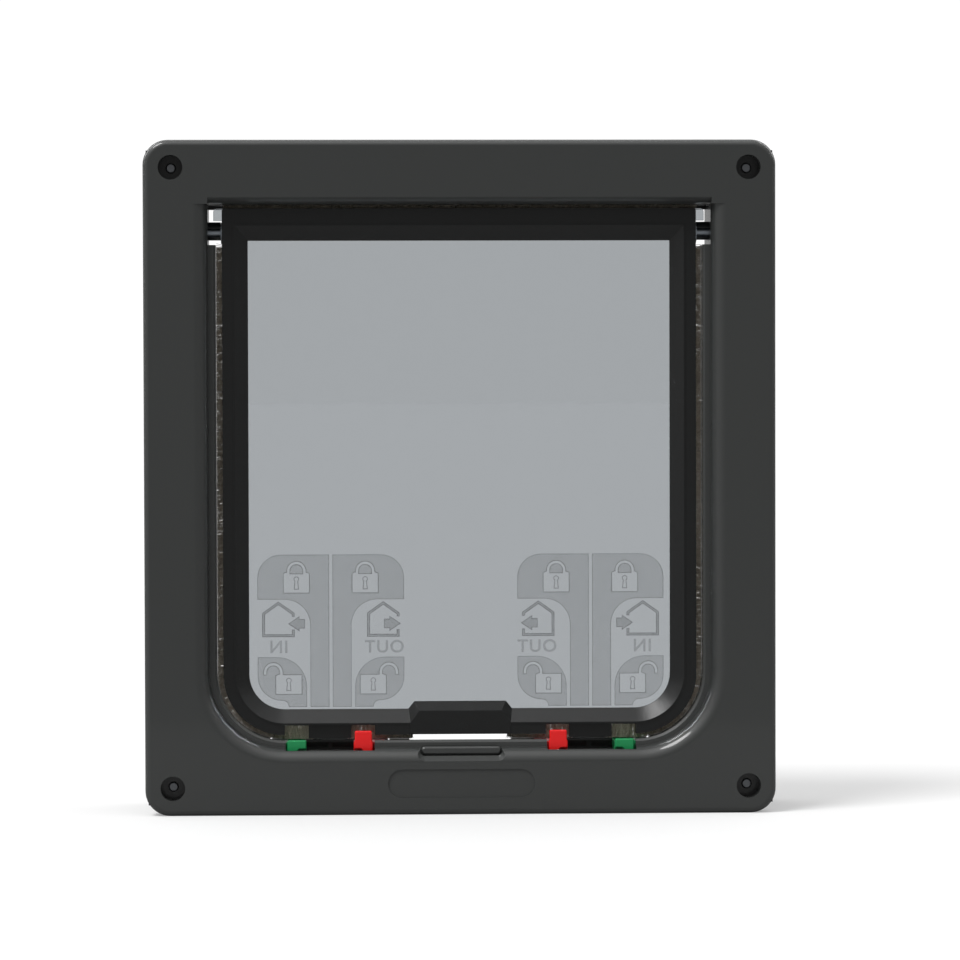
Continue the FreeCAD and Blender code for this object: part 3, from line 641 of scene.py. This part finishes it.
@dataclass
class CornerScrews:
    """The four long screws at the frames' corners, with a domed end in each front counterbore."""

    head_radius: float = 3.8
    head_round: float = 1.1
    head_segments: int = 4
    rim_share: float = 0.97
    top_gap: float = 0.01
    edge: float = 0.2
    end_radius: float = 2.05
    end_height: float = 1.1
    end_dome: float = 0.7
    end_segments: int = 5
    end_sides: int = 32
    end_smooth: float = 40.0

    def build(self) -> None:
        """Round the heads, dress the screws and set their ends."""
        # The steel's darker grey is painted shade for the screw ends deep in the counterbores.
        steel = ZINC_STEEL.material()
        low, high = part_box("fixing_screws")
        inset = self.head_radius * MM
        spots = [(x, z) for x in (low.x + inset, high.x - inset) for z in (low.z + inset, high.z - inset)]
        piece = merged("fixing_screws", "fixing_screws_plated")

        def on_rim(spot: Vector) -> bool:
            """Tell whether a place is on the outer rim of a head's top."""
            out = min(math.hypot(spot.x - x, spot.z - z) for x, z in spots)
            return spot.y > high.y - self.top_gap * MM and out > self.rim_share * inset

        round_over(piece, on_rim, self.head_round, self.head_segments)
        soften(piece, self.edge)
        dress(piece, steel, Body.FRAMES.value, ["fixing_screws"])
        end = self.screw_end()
        for number, (x, z) in enumerate(spots, 1):
            copy = placed(f"screw_end_{number}", end.data.copy())
            copy.data.transform(Matrix.Translation((x, low.y, z)))
            dress(copy, steel, Body.FRAMES.value)
        bpy.data.objects.remove(end)

    def screw_end(self) -> bpy.types.Object:
        """Shape one domed end round the origin, with its foot towards +Y."""
        piece = disc("screw_end", self.end_radius, self.end_height, self.end_sides)
        round_over(piece, lambda spot: spot.z > 0, self.end_dome, self.end_segments)
        piece.data.transform(Matrix.Rotation(math.radians(90), 4, "X"))
        smooth_by_angle(piece, self.end_smooth)
        return piece


@dataclass
class SwingingFlap:
    """The flap: its black surrounds, its clear sheet, its pins and its magnet."""

    crest_edge: float = 0.5
    crest_segments: int = 3
    crest_angle: float = 14.0
    mould_edge: float = 0.25
    sheet_edge: float = 0.2
    shoulder_radius: float = 4.3
    shoulder_width: float = 0.4
    shoulder_edge: float = 0.05
    shoulder_sides: int = 48
    corner_round: float = 24.5
    rim_width: float = 0.9
    drawn_in: float = 1.5
    tooth: tuple[float, float] = (43.7, 61.0)
    tooth_front: float = -19.4

    def build(self) -> None:
        """Dress the flap's rigid pieces."""
        shell = SURROUND_ABS.material()
        for node in ("front_surround", "rear_surround"):
            piece = merged(node, f"{node}_moulding")
            if node == "front_surround":
                self.trim(piece)
            soften(piece, self.crest_edge, self.crest_segments, self.crest_angle)
            dress(piece, shell, Body.FLAP.value, [node])
        sheet = softened("flap_panel", "flap_panel_sheet", self.sheet_edge)
        dress(sheet, SMOKED_ACRYLIC.material(), Body.FLAP.value, ["flap_panel"])
        steel = PIN_STEEL.material()
        for side in Side:
            node = f"hinge_pin_{side.name.lower()}"
            shank = softened(node, f"{node}_shank", self.mould_edge)
            piece = joined(f"{node}_turned", [shank, self.shoulder(side)])
            dress(piece, steel, Body.FLAP.value, [node])
        piece = softened("flap_magnet", "flap_magnet_bar", self.mould_edge)
        dress(piece, NICKEL_MAGNET.material(), Body.FLAP.value, ["flap_magnet"])

    def trim(self, piece: bpy.types.Object) -> None:
        """Draw the front surround's lower edge in, so that the pile shows under it, and leave the teeth."""
        low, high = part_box("front_surround")
        middle_x = high.x / MM - self.corner_round
        middle_z = low.z / MM + self.corner_round
        tooth_low, tooth_high = self.tooth
        for vertex in piece.data.vertices:
            x, y, z = (value / MM for value in vertex.co)
            if z > middle_z or (tooth_low < abs(x) < tooth_high and y > self.tooth_front):
                continue
            out = Vector((max(abs(x) - middle_x, 0.0), z - middle_z))
            if out.length > self.corner_round - self.rim_width:
                away = out.normalized()
                drawn = self.drawn_in * -away.y
                vertex.co.x -= math.copysign(away.x * drawn * MM, x)
                vertex.co.z -= away.y * drawn * MM

    def shoulder(self, side: Side) -> bpy.types.Object:
        """Shape the shoulder that keeps a pin's side of the flap off its bearing."""
        low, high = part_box(f"hinge_pin_{side.name.lower()}")
        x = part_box("front_surround")[1].x + self.shoulder_width / 2 * MM
        name = f"pin_shoulder_{side.name.lower()}"
        piece = disc(name, self.shoulder_radius, self.shoulder_width, self.shoulder_sides)
        turn = Matrix.Rotation(math.radians(90), 4, "Y")
        place = Matrix.Translation((x * side.value, (low.y + high.y) / 2, (low.z + high.z) / 2))
        piece.data.transform(place @ turn)
        soften(piece, self.shoulder_edge)
        return piece


@dataclass
class LockSigns:
    """Raised signs on the sheet's inner face: fields, padlocks, houses with arrows, and the words IN and OUT.

    They are drawn for the right half as the camera sees it, with X from the flap's middle, and mirrored for
    the left half. The words are turned about, because they are read from indoors.
    """

    field_inner: float = 53.0
    field_outer: float = 81.5
    pair_middle: float = 52.2
    column_outer: float = 60.35
    field_top: float = 103.4
    field_low: float = 85.6
    field_round: float = 9.3
    column_round: float = 10.4
    open_inner: float = 62.0
    open_top: float = 62.25
    open_inner_round: float = 11.8
    open_outer_round: float = 9.6
    foot_outer: float = 69.1
    foot_round: float = 2.6
    foot_low: float = 42.4
    line: float = 0.34
    field_line: float = 0.24
    drift: float = 0.4
    corner: float = 0.45
    field_depth: float = 0.12
    line_depth: float = 0.22

    padlock_width: float = 10.5
    padlock_height: float = 7.9
    shackle_round: float = 3.9
    shackle_hole: float = 2.6
    shackle_rise: float = 0.95
    shackle_foot: float = 0.45
    hole_sunk: float = 0.2
    closed_x: float = 66.0
    closed_low: float = 88.1
    open_x: float = 69.15
    open_low: float = 47.4
    open_shackle_x: float = 75.4
    open_rise: float = 1.0
    open_end: float = 0.1
    open_bridge: float = 0.3
    keyhole_share: float = 0.5
    keyhole_rise: float = 1.6
    keyhole_round: float = 0.95
    keyhole_ends: tuple[float, float] = (-55, 235)
    keyhole_foot: Point = (0.85, 2.4)

    house_stroke: float = 0.85
    house_apex: Point = (73.3, 84.0)
    house_apex_out: Point = (31.2, 84.0)
    house_broken: float = 6.0
    house_whole: float = 5.9
    house_eaves: float = 79.8
    house_floor: float = 71.0
    house_gap: tuple[float, float] = (73.3, 78.7)
    arrow_tail: float = 62.75
    arrow_tail_out: float = 30.75
    arrow_middle: float = 75.75
    arrow_shaft: Point = (2.2, 1.75)
    arrow_head: Point = (6.35, 2.8)
    word_middle: float = 73.1
    word_middle_out: float = 30.7
    word_height: float = 4.85
    word_low: float = 64.15
    word_capital: float = 0.69
    word_spacing: float = 1.12
    word_weight: float = 0.12
    clearance: float = 0.02

    def lock_field(self) -> Outline:
        """Outline of a locked field: a wide head over a column that runs down to the tab."""
        r, q = self.field_round, self.column_round
        head = arc((self.field_outer - r, self.field_top - r), r, 90, 0)
        neck = arc((self.column_outer + q, self.field_low - q), q, 90, 180)
        return [(self.field_inner, self.foot_low), (self.field_inner, self.field_top), *head,
                (self.field_outer, self.field_low), *neck, (self.column_outer, self.foot_low)]

    def open_field(self) -> Outline:
        """Outline of an unlocked field: a leaf over a short foot."""
        r, q, p = self.open_inner_round, self.open_outer_round, self.foot_round
        shoulder = arc((self.open_inner + r, self.open_top - r), r, 180, 90)
        belly_low = self.foot_low + p
        belly = arc((self.field_outer - q, belly_low + q), q, 0, -90)
        step = arc((self.foot_outer + p, self.foot_low), p, 90, 180, 5)
        return [(self.open_inner, self.foot_low), *shoulder, (self.field_outer, self.open_top), *belly, *step]

    def closed_padlock(self) -> list[Outline]:
        """Outlines of a closed padlock: its whole shape, the shackle's opening and the keyhole."""
        x, low = self.closed_x, self.closed_low
        half, top = self.padlock_width / 2, low + self.padlock_height
        outer, inner = self.shackle_round, self.shackle_hole
        centre = (x, top + self.shackle_rise)
        body = [
            (x - half, low),
            (x + half, low),
            (x + half, top),
            (x + outer, top + self.shackle_foot),
            *arc(centre, outer, 0, 180, 12),
            (x - outer, top + self.shackle_foot),
            (x - half, top),
        ]
        sunk = top - self.hole_sunk
        hole = [(x - inner, sunk), (x + inner, sunk), *arc(centre, inner, 0, 180, 10)]
        return [body, hole, self.keyhole(x, low + self.padlock_height * self.keyhole_share)]

    def open_padlock(self) -> list[Outline]:
        """Outlines of an open padlock, whose shackle stands beside its body, and the keyhole."""
        x, low, side = self.open_x, self.open_low, self.open_shackle_x
        half, top = self.padlock_width / 2, low + self.padlock_height
        centre = (side, top + self.open_rise)
        outer, inner = self.shackle_round, self.shackle_hole
        body = [
            (x - half, low),
            (x - half, top),
            (side - outer, top),
            *arc(centre, outer, 180, 0, 12),
            (side + outer, top - self.open_end),
            (side + inner, top - self.open_end),
            *arc(centre, inner, 0, 180, 10),
            (side - inner, top + self.open_bridge),
            (x + half, top - self.open_bridge),
            (x + half, low),
        ]
        return [body, self.keyhole(x, low + self.padlock_height * self.keyhole_share)]

    def keyhole(self, x: float, z: float) -> Outline:
        """Outline of a keyhole round this place: a round head over a flared stem."""
        head = arc((x, z + self.keyhole_rise), self.keyhole_round, *self.keyhole_ends, 12)
        half, down = self.keyhole_foot
        return [*head, (x - half, z - down), (x + half, z - down)]

    def house(self, apex: Point) -> Outline:
        """Line of a house under this ridge, open in the wall that the arrow passes."""
        broken, whole = apex[0] - self.house_broken, apex[0] + self.house_whole
        gap_low, gap_high = self.house_gap
        roof = [(broken, gap_high), (broken, self.house_eaves), apex, (whole, self.house_eaves)]
        return [*roof, (whole, self.house_floor), (broken, self.house_floor), (broken, gap_low)]

    def arrow(self, tail: float, way: int) -> Outline:
        """Outline of a short arrow from its tail towards a way along X."""
        (shaft, thin), (tip, wide) = self.arrow_shaft, self.arrow_head
        shaft, tip, z = tail + way * shaft, tail + way * tip, self.arrow_middle
        upper = [(tail, z - thin), (tail, z + thin), (shaft, z + thin), (shaft, z + wide)]
        return [*upper, (tip, z), (shaft, z - wide), (shaft, z - thin)]

    def half(self, side: Side, front: float) -> tuple[Pieces, Pieces, Pieces]:
        """Cut the signs of one half.

        Args:
            side: Left or right.
            front: Place of the sheet's inner face along Y.

        Returns:
            The matt fields, the lines, and the fills of arrows and words.
        """
        def across(outline: Outline, other: bool) -> Outline:
            """Mirror an outline into the neighbouring sign if asked, and place it on this half."""
            start, way = (2 * self.pair_middle, -1) if other else (0.0, 1)
            return [((start + way * x) * side.value + self.drift, z) for x, z in outline]

        def low(name: str, outlines: Sequence[Outline]) -> bpy.types.Object:
            """Cut a field or a fill, which lies on the sheet."""
            return cut_sheet(name, outlines, front, front + self.field_depth)

        def high(name: str, outlines: Sequence[Outline]) -> bpy.types.Object:
            """Cut lines, which stand on the fields and the fills."""
            return cut_sheet(name, outlines, front + self.field_depth, front + self.line_depth)

        fields, lines, fills = [], [], []
        for other in (False, True):
            label = f"{'out' if other else 'in'}_{side.name.lower()}"
            for kind, edge, marks in (
                ("locked", self.lock_field(), self.closed_padlock()),
                ("unlocked", self.open_field(), self.open_padlock()),
            ):
                field, *marks = [across(outline, other) for outline in (edge, *marks)]
                fields.append(low(f"field_{kind}_{label}", [field, *marks[:-1]]))
                bands = ribbon(field, self.field_line)
                for mark in marks:
                    bands += ribbon(mark, self.line)
                lines.append(high(f"line_{kind}_{label}", bands))
            wall = across(self.house(self.house_apex_out if other else self.house_apex), False)
            [band] = ribbon(wall, self.house_stroke, False)
            arrow = self.arrow(self.arrow_tail_out, -1) if other else self.arrow(self.arrow_tail, 1)
            for kind, outline in (("house", band), ("arrow", across(arrow, False))):
                fills.append(low(f"{kind}_fill_{label}", [outline]))
                lines.append(high(f"{kind}_line_{label}", ribbon(outline, self.line)))
            middle = (self.word_middle_out if other else self.word_middle) * side.value + self.drift
            fills.append(self.word("OUT" if other else "IN", f"word_{label}", middle, front))
        return fields, lines, fills

    def word(self, text: str, name: str, middle: float, front: float) -> bpy.types.Object:
        """Cut one word, turned about.

        Args:
            text: The word.
            name: Name of the object.
            middle: Place of its middle along X.
            front: Place of the sheet's inner face along Y.

        Returns:
            The word as a mesh.
        """
        curve = bpy.data.curves.new(name, "FONT")
        curve.body = text
        curve.align_x = "CENTER"
        curve.size = self.word_height / self.word_capital * MM
        curve.space_character = self.word_spacing
        curve.offset = self.word_weight * MM
        curve.extrude = self.field_depth / 2 * MM
        depth = front + self.field_depth / 2 + self.clearance
        return stand_up(placed(name, curve), depth, True, (middle, self.word_low))

    def build(self) -> None:
        """Cut all the signs and join them by their surface."""
        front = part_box("flap_panel")[1].y / MM + self.clearance
        halves = zip(*(self.half(side, front) for side in Side))
        finishes = (("sign_fields", MATTED_FIELD), ("sign_lines", MATTED_LINE), ("sign_fills", MATTED_FILL))
        for (name, finish), (left, right) in zip(finishes, halves):
            dress(joined(name, left + right), finish.material(), Body.FLAP.value)


@dataclass
class PileSeal:
    """Pile strips in the flap's edge, as single bristles that lean a little to all sides."""

    thickness: float = 1.9
    bristle: float = 0.1
    per_mm: float = 24.0
    lean: float = 0.14
    tip_spread: float = 0.07
    reach: float = 0.36
    to_tooth: float = 1.1
    above: float = -0.2
    top_beyond: float = 7.0
    top_reach: float = 0.13
    top_slant: float = 0.1
    slant: float = 0.12
    sway: float = 0.05
    rings: tuple[float, float, float] = (0.0, 0.55, 0.985)
    root_depth: float = 6.9
    bend_radius: float = 26.6

    def bristles(
        self,
        name: str,
        line: Callable[[float], tuple[Point, Point]],
        length: float,
        slant: float,
        seed: int,
    ) -> bpy.types.Object:
        """Plant bristles along a strip.

        Args:
            name: Name of the object.
            line: Gives the root and the tip of a bristle at a place along the strip, in millimetres.
            length: Length of the strip.
            slant: How far the tips lean along the strip, for each millimetre of bristle.
            seed: Start of the random draws.

        Returns:
            One object with all the bristles.
        """
        draw = random.Random(seed)
        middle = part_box("flap_panel")
        depth = (middle[0].y + middle[1].y) / 2 / MM
        points: list[tuple[float, float, float]] = []
        faces: list[tuple[int, ...]] = []
        for _ in range(round(length * self.per_mm)):
            root, tip = line(draw.uniform(0, length))
            reach = math.hypot(tip[0] - root[0], tip[1] - root[1]) + self.reach
            out = ((tip[0] - root[0]) / (reach - self.reach), (tip[1] - root[1]) / (reach - self.reach))
            along = (out[1], -out[0])
            lean = (slant + draw.gauss(0, self.lean)) * reach
            reach -= abs(draw.gauss(0, self.tip_spread))
            y = depth + draw.uniform(-0.5, 0.5) * self.thickness
            sway = draw.gauss(0, self.sway) * reach
            first = len(points)
            for share in self.rings:
                shift = lean * share * share
                cx = root[0] + out[0] * reach * share + along[0] * shift
                cz = root[1] + out[1] * reach * share + along[1] * shift
                for corner in range(3):
                    turn = math.radians(120 * corner + 30)
                    side, cy = self.bristle * math.cos(turn), y + sway * share + self.bristle * math.sin(turn)
                    points.append((cx + along[0] * side, cy, cz + along[1] * side))
            end_x, end_z = (root[axis] + out[axis] * reach + along[axis] * lean for axis in (0, 1))
            points.append((end_x, y + sway, end_z))
            faces.append((first, first + 1, first + 2))
            for ring in (0, 3):
                for corner in range(3):
                    a, b = first + ring + corner, first + ring + (corner + 1) % 3
                    faces.append((a, a + 3, b + 3, b))
            for corner in range(3):
                faces.append((first + 6 + corner, first + 9, first + 6 + (corner + 1) % 3))
        mesh = bpy.data.meshes.new(name)
        mesh.from_pydata([tuple(v * MM for v in point) for point in points], [], faces)
        return placed(name, mesh)

    def build(self) -> None:
        """Plant the five strips."""
        nylon = NYLON_PILE.material()
        low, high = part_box("brush_top")
        top_low, top_high = low.z / MM, high.z / MM
        left, right = low.x / MM, high.x / MM

        def top_line(place: float) -> tuple[Point, Point]:
            """Root and tip of a bristle of the upper strip."""
            x = left - self.top_beyond + place
            return (x, top_low), (x, top_high + self.top_reach)

        length = right - left + 2 * self.top_beyond
        piece = self.bristles("brush_top_pile", top_line, length, self.top_slant, 11)
        dress(piece, nylon, Body.FLAP.value, ["brush_top"])
        for side in Side:
            label = side.name.lower()
            self.corner_strip(side, f"brush_{label}", nylon)
            self.sill_strip(side, f"brush_bottom_{label}", nylon)

    def corner_strip(self, side: Side, node: str, nylon: bpy.types.Material) -> None:
        """Plant one side's strip, down the side, round the lower corner and along the sill to the tooth.

        Args:
            side: Left or right.
            node: The strip's CAD node.
            nylon: The bristles' material.
        """
        low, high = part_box(node)
        outer = max(abs(low.x), abs(high.x)) / MM
        inner_end = min(abs(low.x), abs(high.x)) / MM
        bottom, top = low.z / MM, high.z / MM
        root_depth, radius = self.root_depth, self.bend_radius
        top += self.above
        upright = top - bottom - radius
        bend = radius * math.pi / 2
        flat = outer - radius - inner_end + self.to_tooth

        def line(place: float) -> tuple[Point, Point]:
            """Root and tip of a bristle at a place along the strip, measured from its upper end."""
            if place < upright:
                z = top - place
                root, tip = (outer - root_depth, z), (outer, z)
            elif place < upright + bend:
                turn = (place - upright) / radius
                across, down = math.cos(turn), math.sin(turn)
                centre = (outer - radius, bottom + radius)
                ends = (radius - root_depth, radius)
                root, tip = ((centre[0] + across * end, centre[1] - down * end) for end in ends)
            else:
                x = outer - radius - (place - upright - bend)
                root, tip = (x, bottom + root_depth), (x, bottom)
            return (root[0] * side.value, root[1]), (tip[0] * side.value, tip[1])

        length = upright + bend + flat
        piece = self.bristles(f"{node}_pile", line, length, self.slant * side.value, 21 + side.value)
        dress(piece, nylon, Body.FLAP.value, [node])

    def sill_strip(self, side: Side, node: str, nylon: bpy.types.Material) -> None:
        """Plant the short strip between the tooth and the magnet housing.

        Args:
            side: Left or right.
            node: The strip's CAD node.
            nylon: The bristles' material.
        """
        low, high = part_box(node)
        start, bottom, length = low.x / MM, low.z / MM, (high.x - low.x) / MM + self.to_tooth
        if side is Side.LEFT:
            start -= self.to_tooth

        def line(place: float) -> tuple[Point, Point]:
            """Root and tip of a bristle of the sill's strip."""
            return (start + place, bottom + self.root_depth), (start + place, bottom)

        piece = self.bristles(f"{node}_pile", line, length, self.slant * side.value, 31 + side.value)
        dress(piece, nylon, Body.FLAP.value, [node])


@dataclass
class SillLocks:
    """The four sliding locks in the sill."""

    edge: float = 0.2

    def build(self) -> None:
        """Dress the locks in red and green."""
        for kind, finish, slot in (("out", RED_ABS, "out_lock_red"), ("in", GREEN_ABS, "in_lock_green")):
            material = finish.material()
            for side in Side:
                node = f"lock_{kind}_{side.name.lower()}"
                piece = softened(node, f"{node}_tab", self.edge)
                dress(piece, material, f"{node}_slider", [node])


@dataclass
class Studio:
    """Photographer's white table in a dim room, with a soft key light and two strips of light.

    The room is bright overhead and behind the part and dark behind the camera, so a face that looks at the
    camera stays dark. Each rise of the room's light is its start, its end and its strength, along one axis of
    the direction that is looked at. The strips stand high on the left and on the right and show only in
    reflections: they draw the fine lines of light round the lower corners of the recess. The table is darker
    in reflections than where it is seen, so that it doesn't lighten the sill.
    """

    table_front: float = 0.5
    table_size: float = 40.0
    table_lift: float = 0.28
    key_direction: tuple[float, float, float] = (-0.42, -0.4, 0.81)
    key_width: float = 25.0
    key_strength: float = 2.0
    seen: float = 1.06
    room_dim: float = 0.16
    room_below: Rise = (0.0, -0.2, 0.2)
    room_above: Rise = (0.15, 0.45, 0.3)
    room_top: Rise = (0.5, 0.92, 0.5)
    room_left: Rise = (-0.3, -0.95, 0.3)
    room_right: Rise = (0.3, 0.95, 0.12)
    room_back: Rise = (0.1, 0.9, 0.3)
    strip_middle: float = 0.28
    strip_edge: Rise = (0.09, 0.05, 1.0)
    strip_foot: Rise = (0.2, 0.35, 1.0)
    strip_aside: Rise = (0.3, 0.45, 70.0)
    strips_outside: float = 0.12
    table_white: float = 0.62
    table_mirrored: float = 0.3

    def build(self) -> None:
        """Set the table, the key light, the room and the view."""
        bpy.ops.object.select_all(action="DESELECT")
        middle = self.table_size / 2 - self.table_front
        bpy.ops.mesh.primitive_plane_add(size=self.table_size, location=(0, middle, 0))
        bpy.ops.object.transform_apply(location=True)
        table = bpy.context.active_object
        table.name = "studio_table"
        table.data.materials.append(self.table_material())
        light = bpy.data.lights.new("key_light", "SUN")
        light.energy = self.key_strength
        light.angle = math.radians(self.key_width)
        lamp = placed("key_light", light)
        lamp.rotation_euler = Vector(self.key_direction).to_track_quat("Z", "Y").to_euler()
        self.room()
        bpy.context.scene.view_settings.view_transform = "Standard"

    @staticmethod
    def maths(tree: bpy.types.NodeTree, operation: str, *values: object) -> bpy.types.NodeSocket:
        """Add a Math node and return its output."""
        return add(tree, "ShaderNodeMath", dict(enumerate(values)), operation=operation).outputs[0]

    @staticmethod
    def rise(tree: bpy.types.NodeTree, value: object, span: Rise) -> bpy.types.NodeSocket:
        """Rise smoothly from 0 to a strength between two places.

        Args:
            tree: Node tree to add to.
            value: Output that runs along the places.
            span: Place where the rise starts, place where it ends, and the strength there.

        Returns:
            The risen value.
        """
        low, high, top = span
        values = {"Value": value, "From Min": low, "From Max": high, "To Max": top}
        return add(tree, "ShaderNodeMapRange", values, interpolation_type="SMOOTHSTEP").outputs["Result"]

    def table_material(self) -> bpy.types.Material:
        """Make the white table, lifted to white where no shadow falls and held back in reflections."""
        material = empty_material("studio_table_white")
        tree = material.node_tree
        path = add(tree, "ShaderNodeLightPath")
        through = path.outputs["Is Transmission Ray"]
        seen = self.maths(tree, "MAXIMUM", path.outputs["Is Camera Ray"], through)
        lift = self.maths(tree, "MULTIPLY", seen, self.table_lift)
        mirrored = self.maths(tree, "SUBTRACT", path.outputs["Is Glossy Ray"], through)
        shade = {0: mirrored, 2: self.table_white, 3: self.table_mirrored}
        white = add(tree, "ShaderNodeMix", shade, data_type="FLOAT")
        paper = add(tree, "ShaderNodeBsdfDiffuse", {"Color": white.outputs[0]})
        glow = add(tree, "ShaderNodeEmission", {"Strength": lift})
        both = add(tree, "ShaderNodeAddShader", {0: paper.outputs[0], 1: glow.outputs[0]})
        add(tree, "ShaderNodeOutputMaterial", {"Surface": both.outputs[0]})
        return material

    def room(self) -> None:
        """Make the room: white where it is seen or looked through, bright or dim by direction elsewhere."""
        world = bpy.data.worlds.new("studio_room")
        world.use_nodes = True
        tree = world.node_tree
        tree.nodes.clear()
        place = add(tree, "ShaderNodeTexCoord")
        way = add(tree, "ShaderNodeSeparateXYZ", {"Vector": place.outputs["Generated"]})
        x, y, z = (way.outputs[axis] for axis in "XYZ")
        light = self.room_dim
        for axis, span in (
            (z, self.room_top),
            (z, self.room_below),
            (z, self.room_above),
            (x, self.room_left),
            (x, self.room_right),
            (y, self.room_back),
        ):
            light = self.maths(tree, "ADD", light, self.rise(tree, axis, span))
        off = self.maths(tree, "ABSOLUTE", self.maths(tree, "SUBTRACT", y, self.strip_middle))
        edge, foot = self.rise(tree, off, self.strip_edge), self.rise(tree, z, self.strip_foot)
        strip = self.maths(tree, "MULTIPLY", edge, foot)
        aside = self.rise(tree, self.maths(tree, "ABSOLUTE", x), self.strip_aside)
        path = add(tree, "ShaderNodeLightPath")
        through = path.outputs["Is Transmission Ray"]
        outside = self.maths(tree, "MULTIPLY", path.outputs["Is Glossy Ray"], self.strips_outside)
        strip = self.maths(tree, "MULTIPLY", strip, self.maths(tree, "MAXIMUM", outside, through))
        light = self.maths(tree, "ADD", light, self.maths(tree, "MULTIPLY", strip, aside))
        seen = self.maths(tree, "MAXIMUM", path.outputs["Is Camera Ray"], through)
        white = self.maths(tree, "MAXIMUM", light, self.seen)
        strength = add(tree, "ShaderNodeMix", {0: seen, 2: light, 3: white}, data_type="FLOAT")
        colour = add(tree, "ShaderNodeBackground", {"Color": (1, 1, 1, 1), "Strength": strength.outputs[0]})
        add(tree, "ShaderNodeOutputWorld", {"Surface": colour.outputs[0]})
        bpy.context.scene.world = world


@dataclass
class PhotoCamera:
    """Camera at the photograph's place, found from the frame's own corners and edges."""

    place: tuple[float, float, float] = (-61.7, -1806.2, 171.4)
    yaw: float = 2.173
    pitch: float = 1.696
    roll: float = -0.15
    image: float = 960.0
    focal: float = 4462.8
    centre: Point = (475.1, 517.1)
    sensor: float = 36.0
    farthest: float = 100.0

    def build(self) -> None:
        """Set the camera up and make it the scene's own."""
        yaw, pitch, roll = (math.radians(angle) for angle in (self.yaw, self.pitch, self.roll))
        ahead = Vector((math.sin(yaw) * math.cos(pitch), math.cos(yaw) * math.cos(pitch), -math.sin(pitch)))
        right = Vector((math.cos(yaw), -math.sin(yaw), 0))
        up = right.cross(ahead)
        tilted_right = right * math.cos(roll) + up * math.sin(roll)
        tilted_up = up * math.cos(roll) - right * math.sin(roll)
        turn = Matrix((tilted_right, tilted_up, -ahead)).transposed().to_4x4()
        data = bpy.data.cameras.new("photo_camera")
        data.sensor_width = self.sensor
        data.lens = self.sensor * self.focal / self.image
        data.shift_x = (self.image / 2 - self.centre[0]) / self.image
        data.shift_y = (self.centre[1] - self.image / 2) / self.image
        data.clip_end = self.farthest
        camera = placed("photo_camera", data)
        camera.matrix_world = Matrix.Translation(Vector(self.place) * MM) @ turn
        bpy.context.scene.camera = camera


def main() -> None:
    """Build the looks in order."""
    logging.basicConfig(level=logging.INFO, format="%(name)s: %(message)s")
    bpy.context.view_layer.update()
    dressed = (DoorFrames, CornerScrews, SwingingFlap, LockSigns, PileSeal, SillLocks)
    for assembly in (*dressed, Studio, PhotoCamera):
        LOG.info("building %s", assembly.__name__)
        assembly().build()


if __name__ == "__main__":
    main()
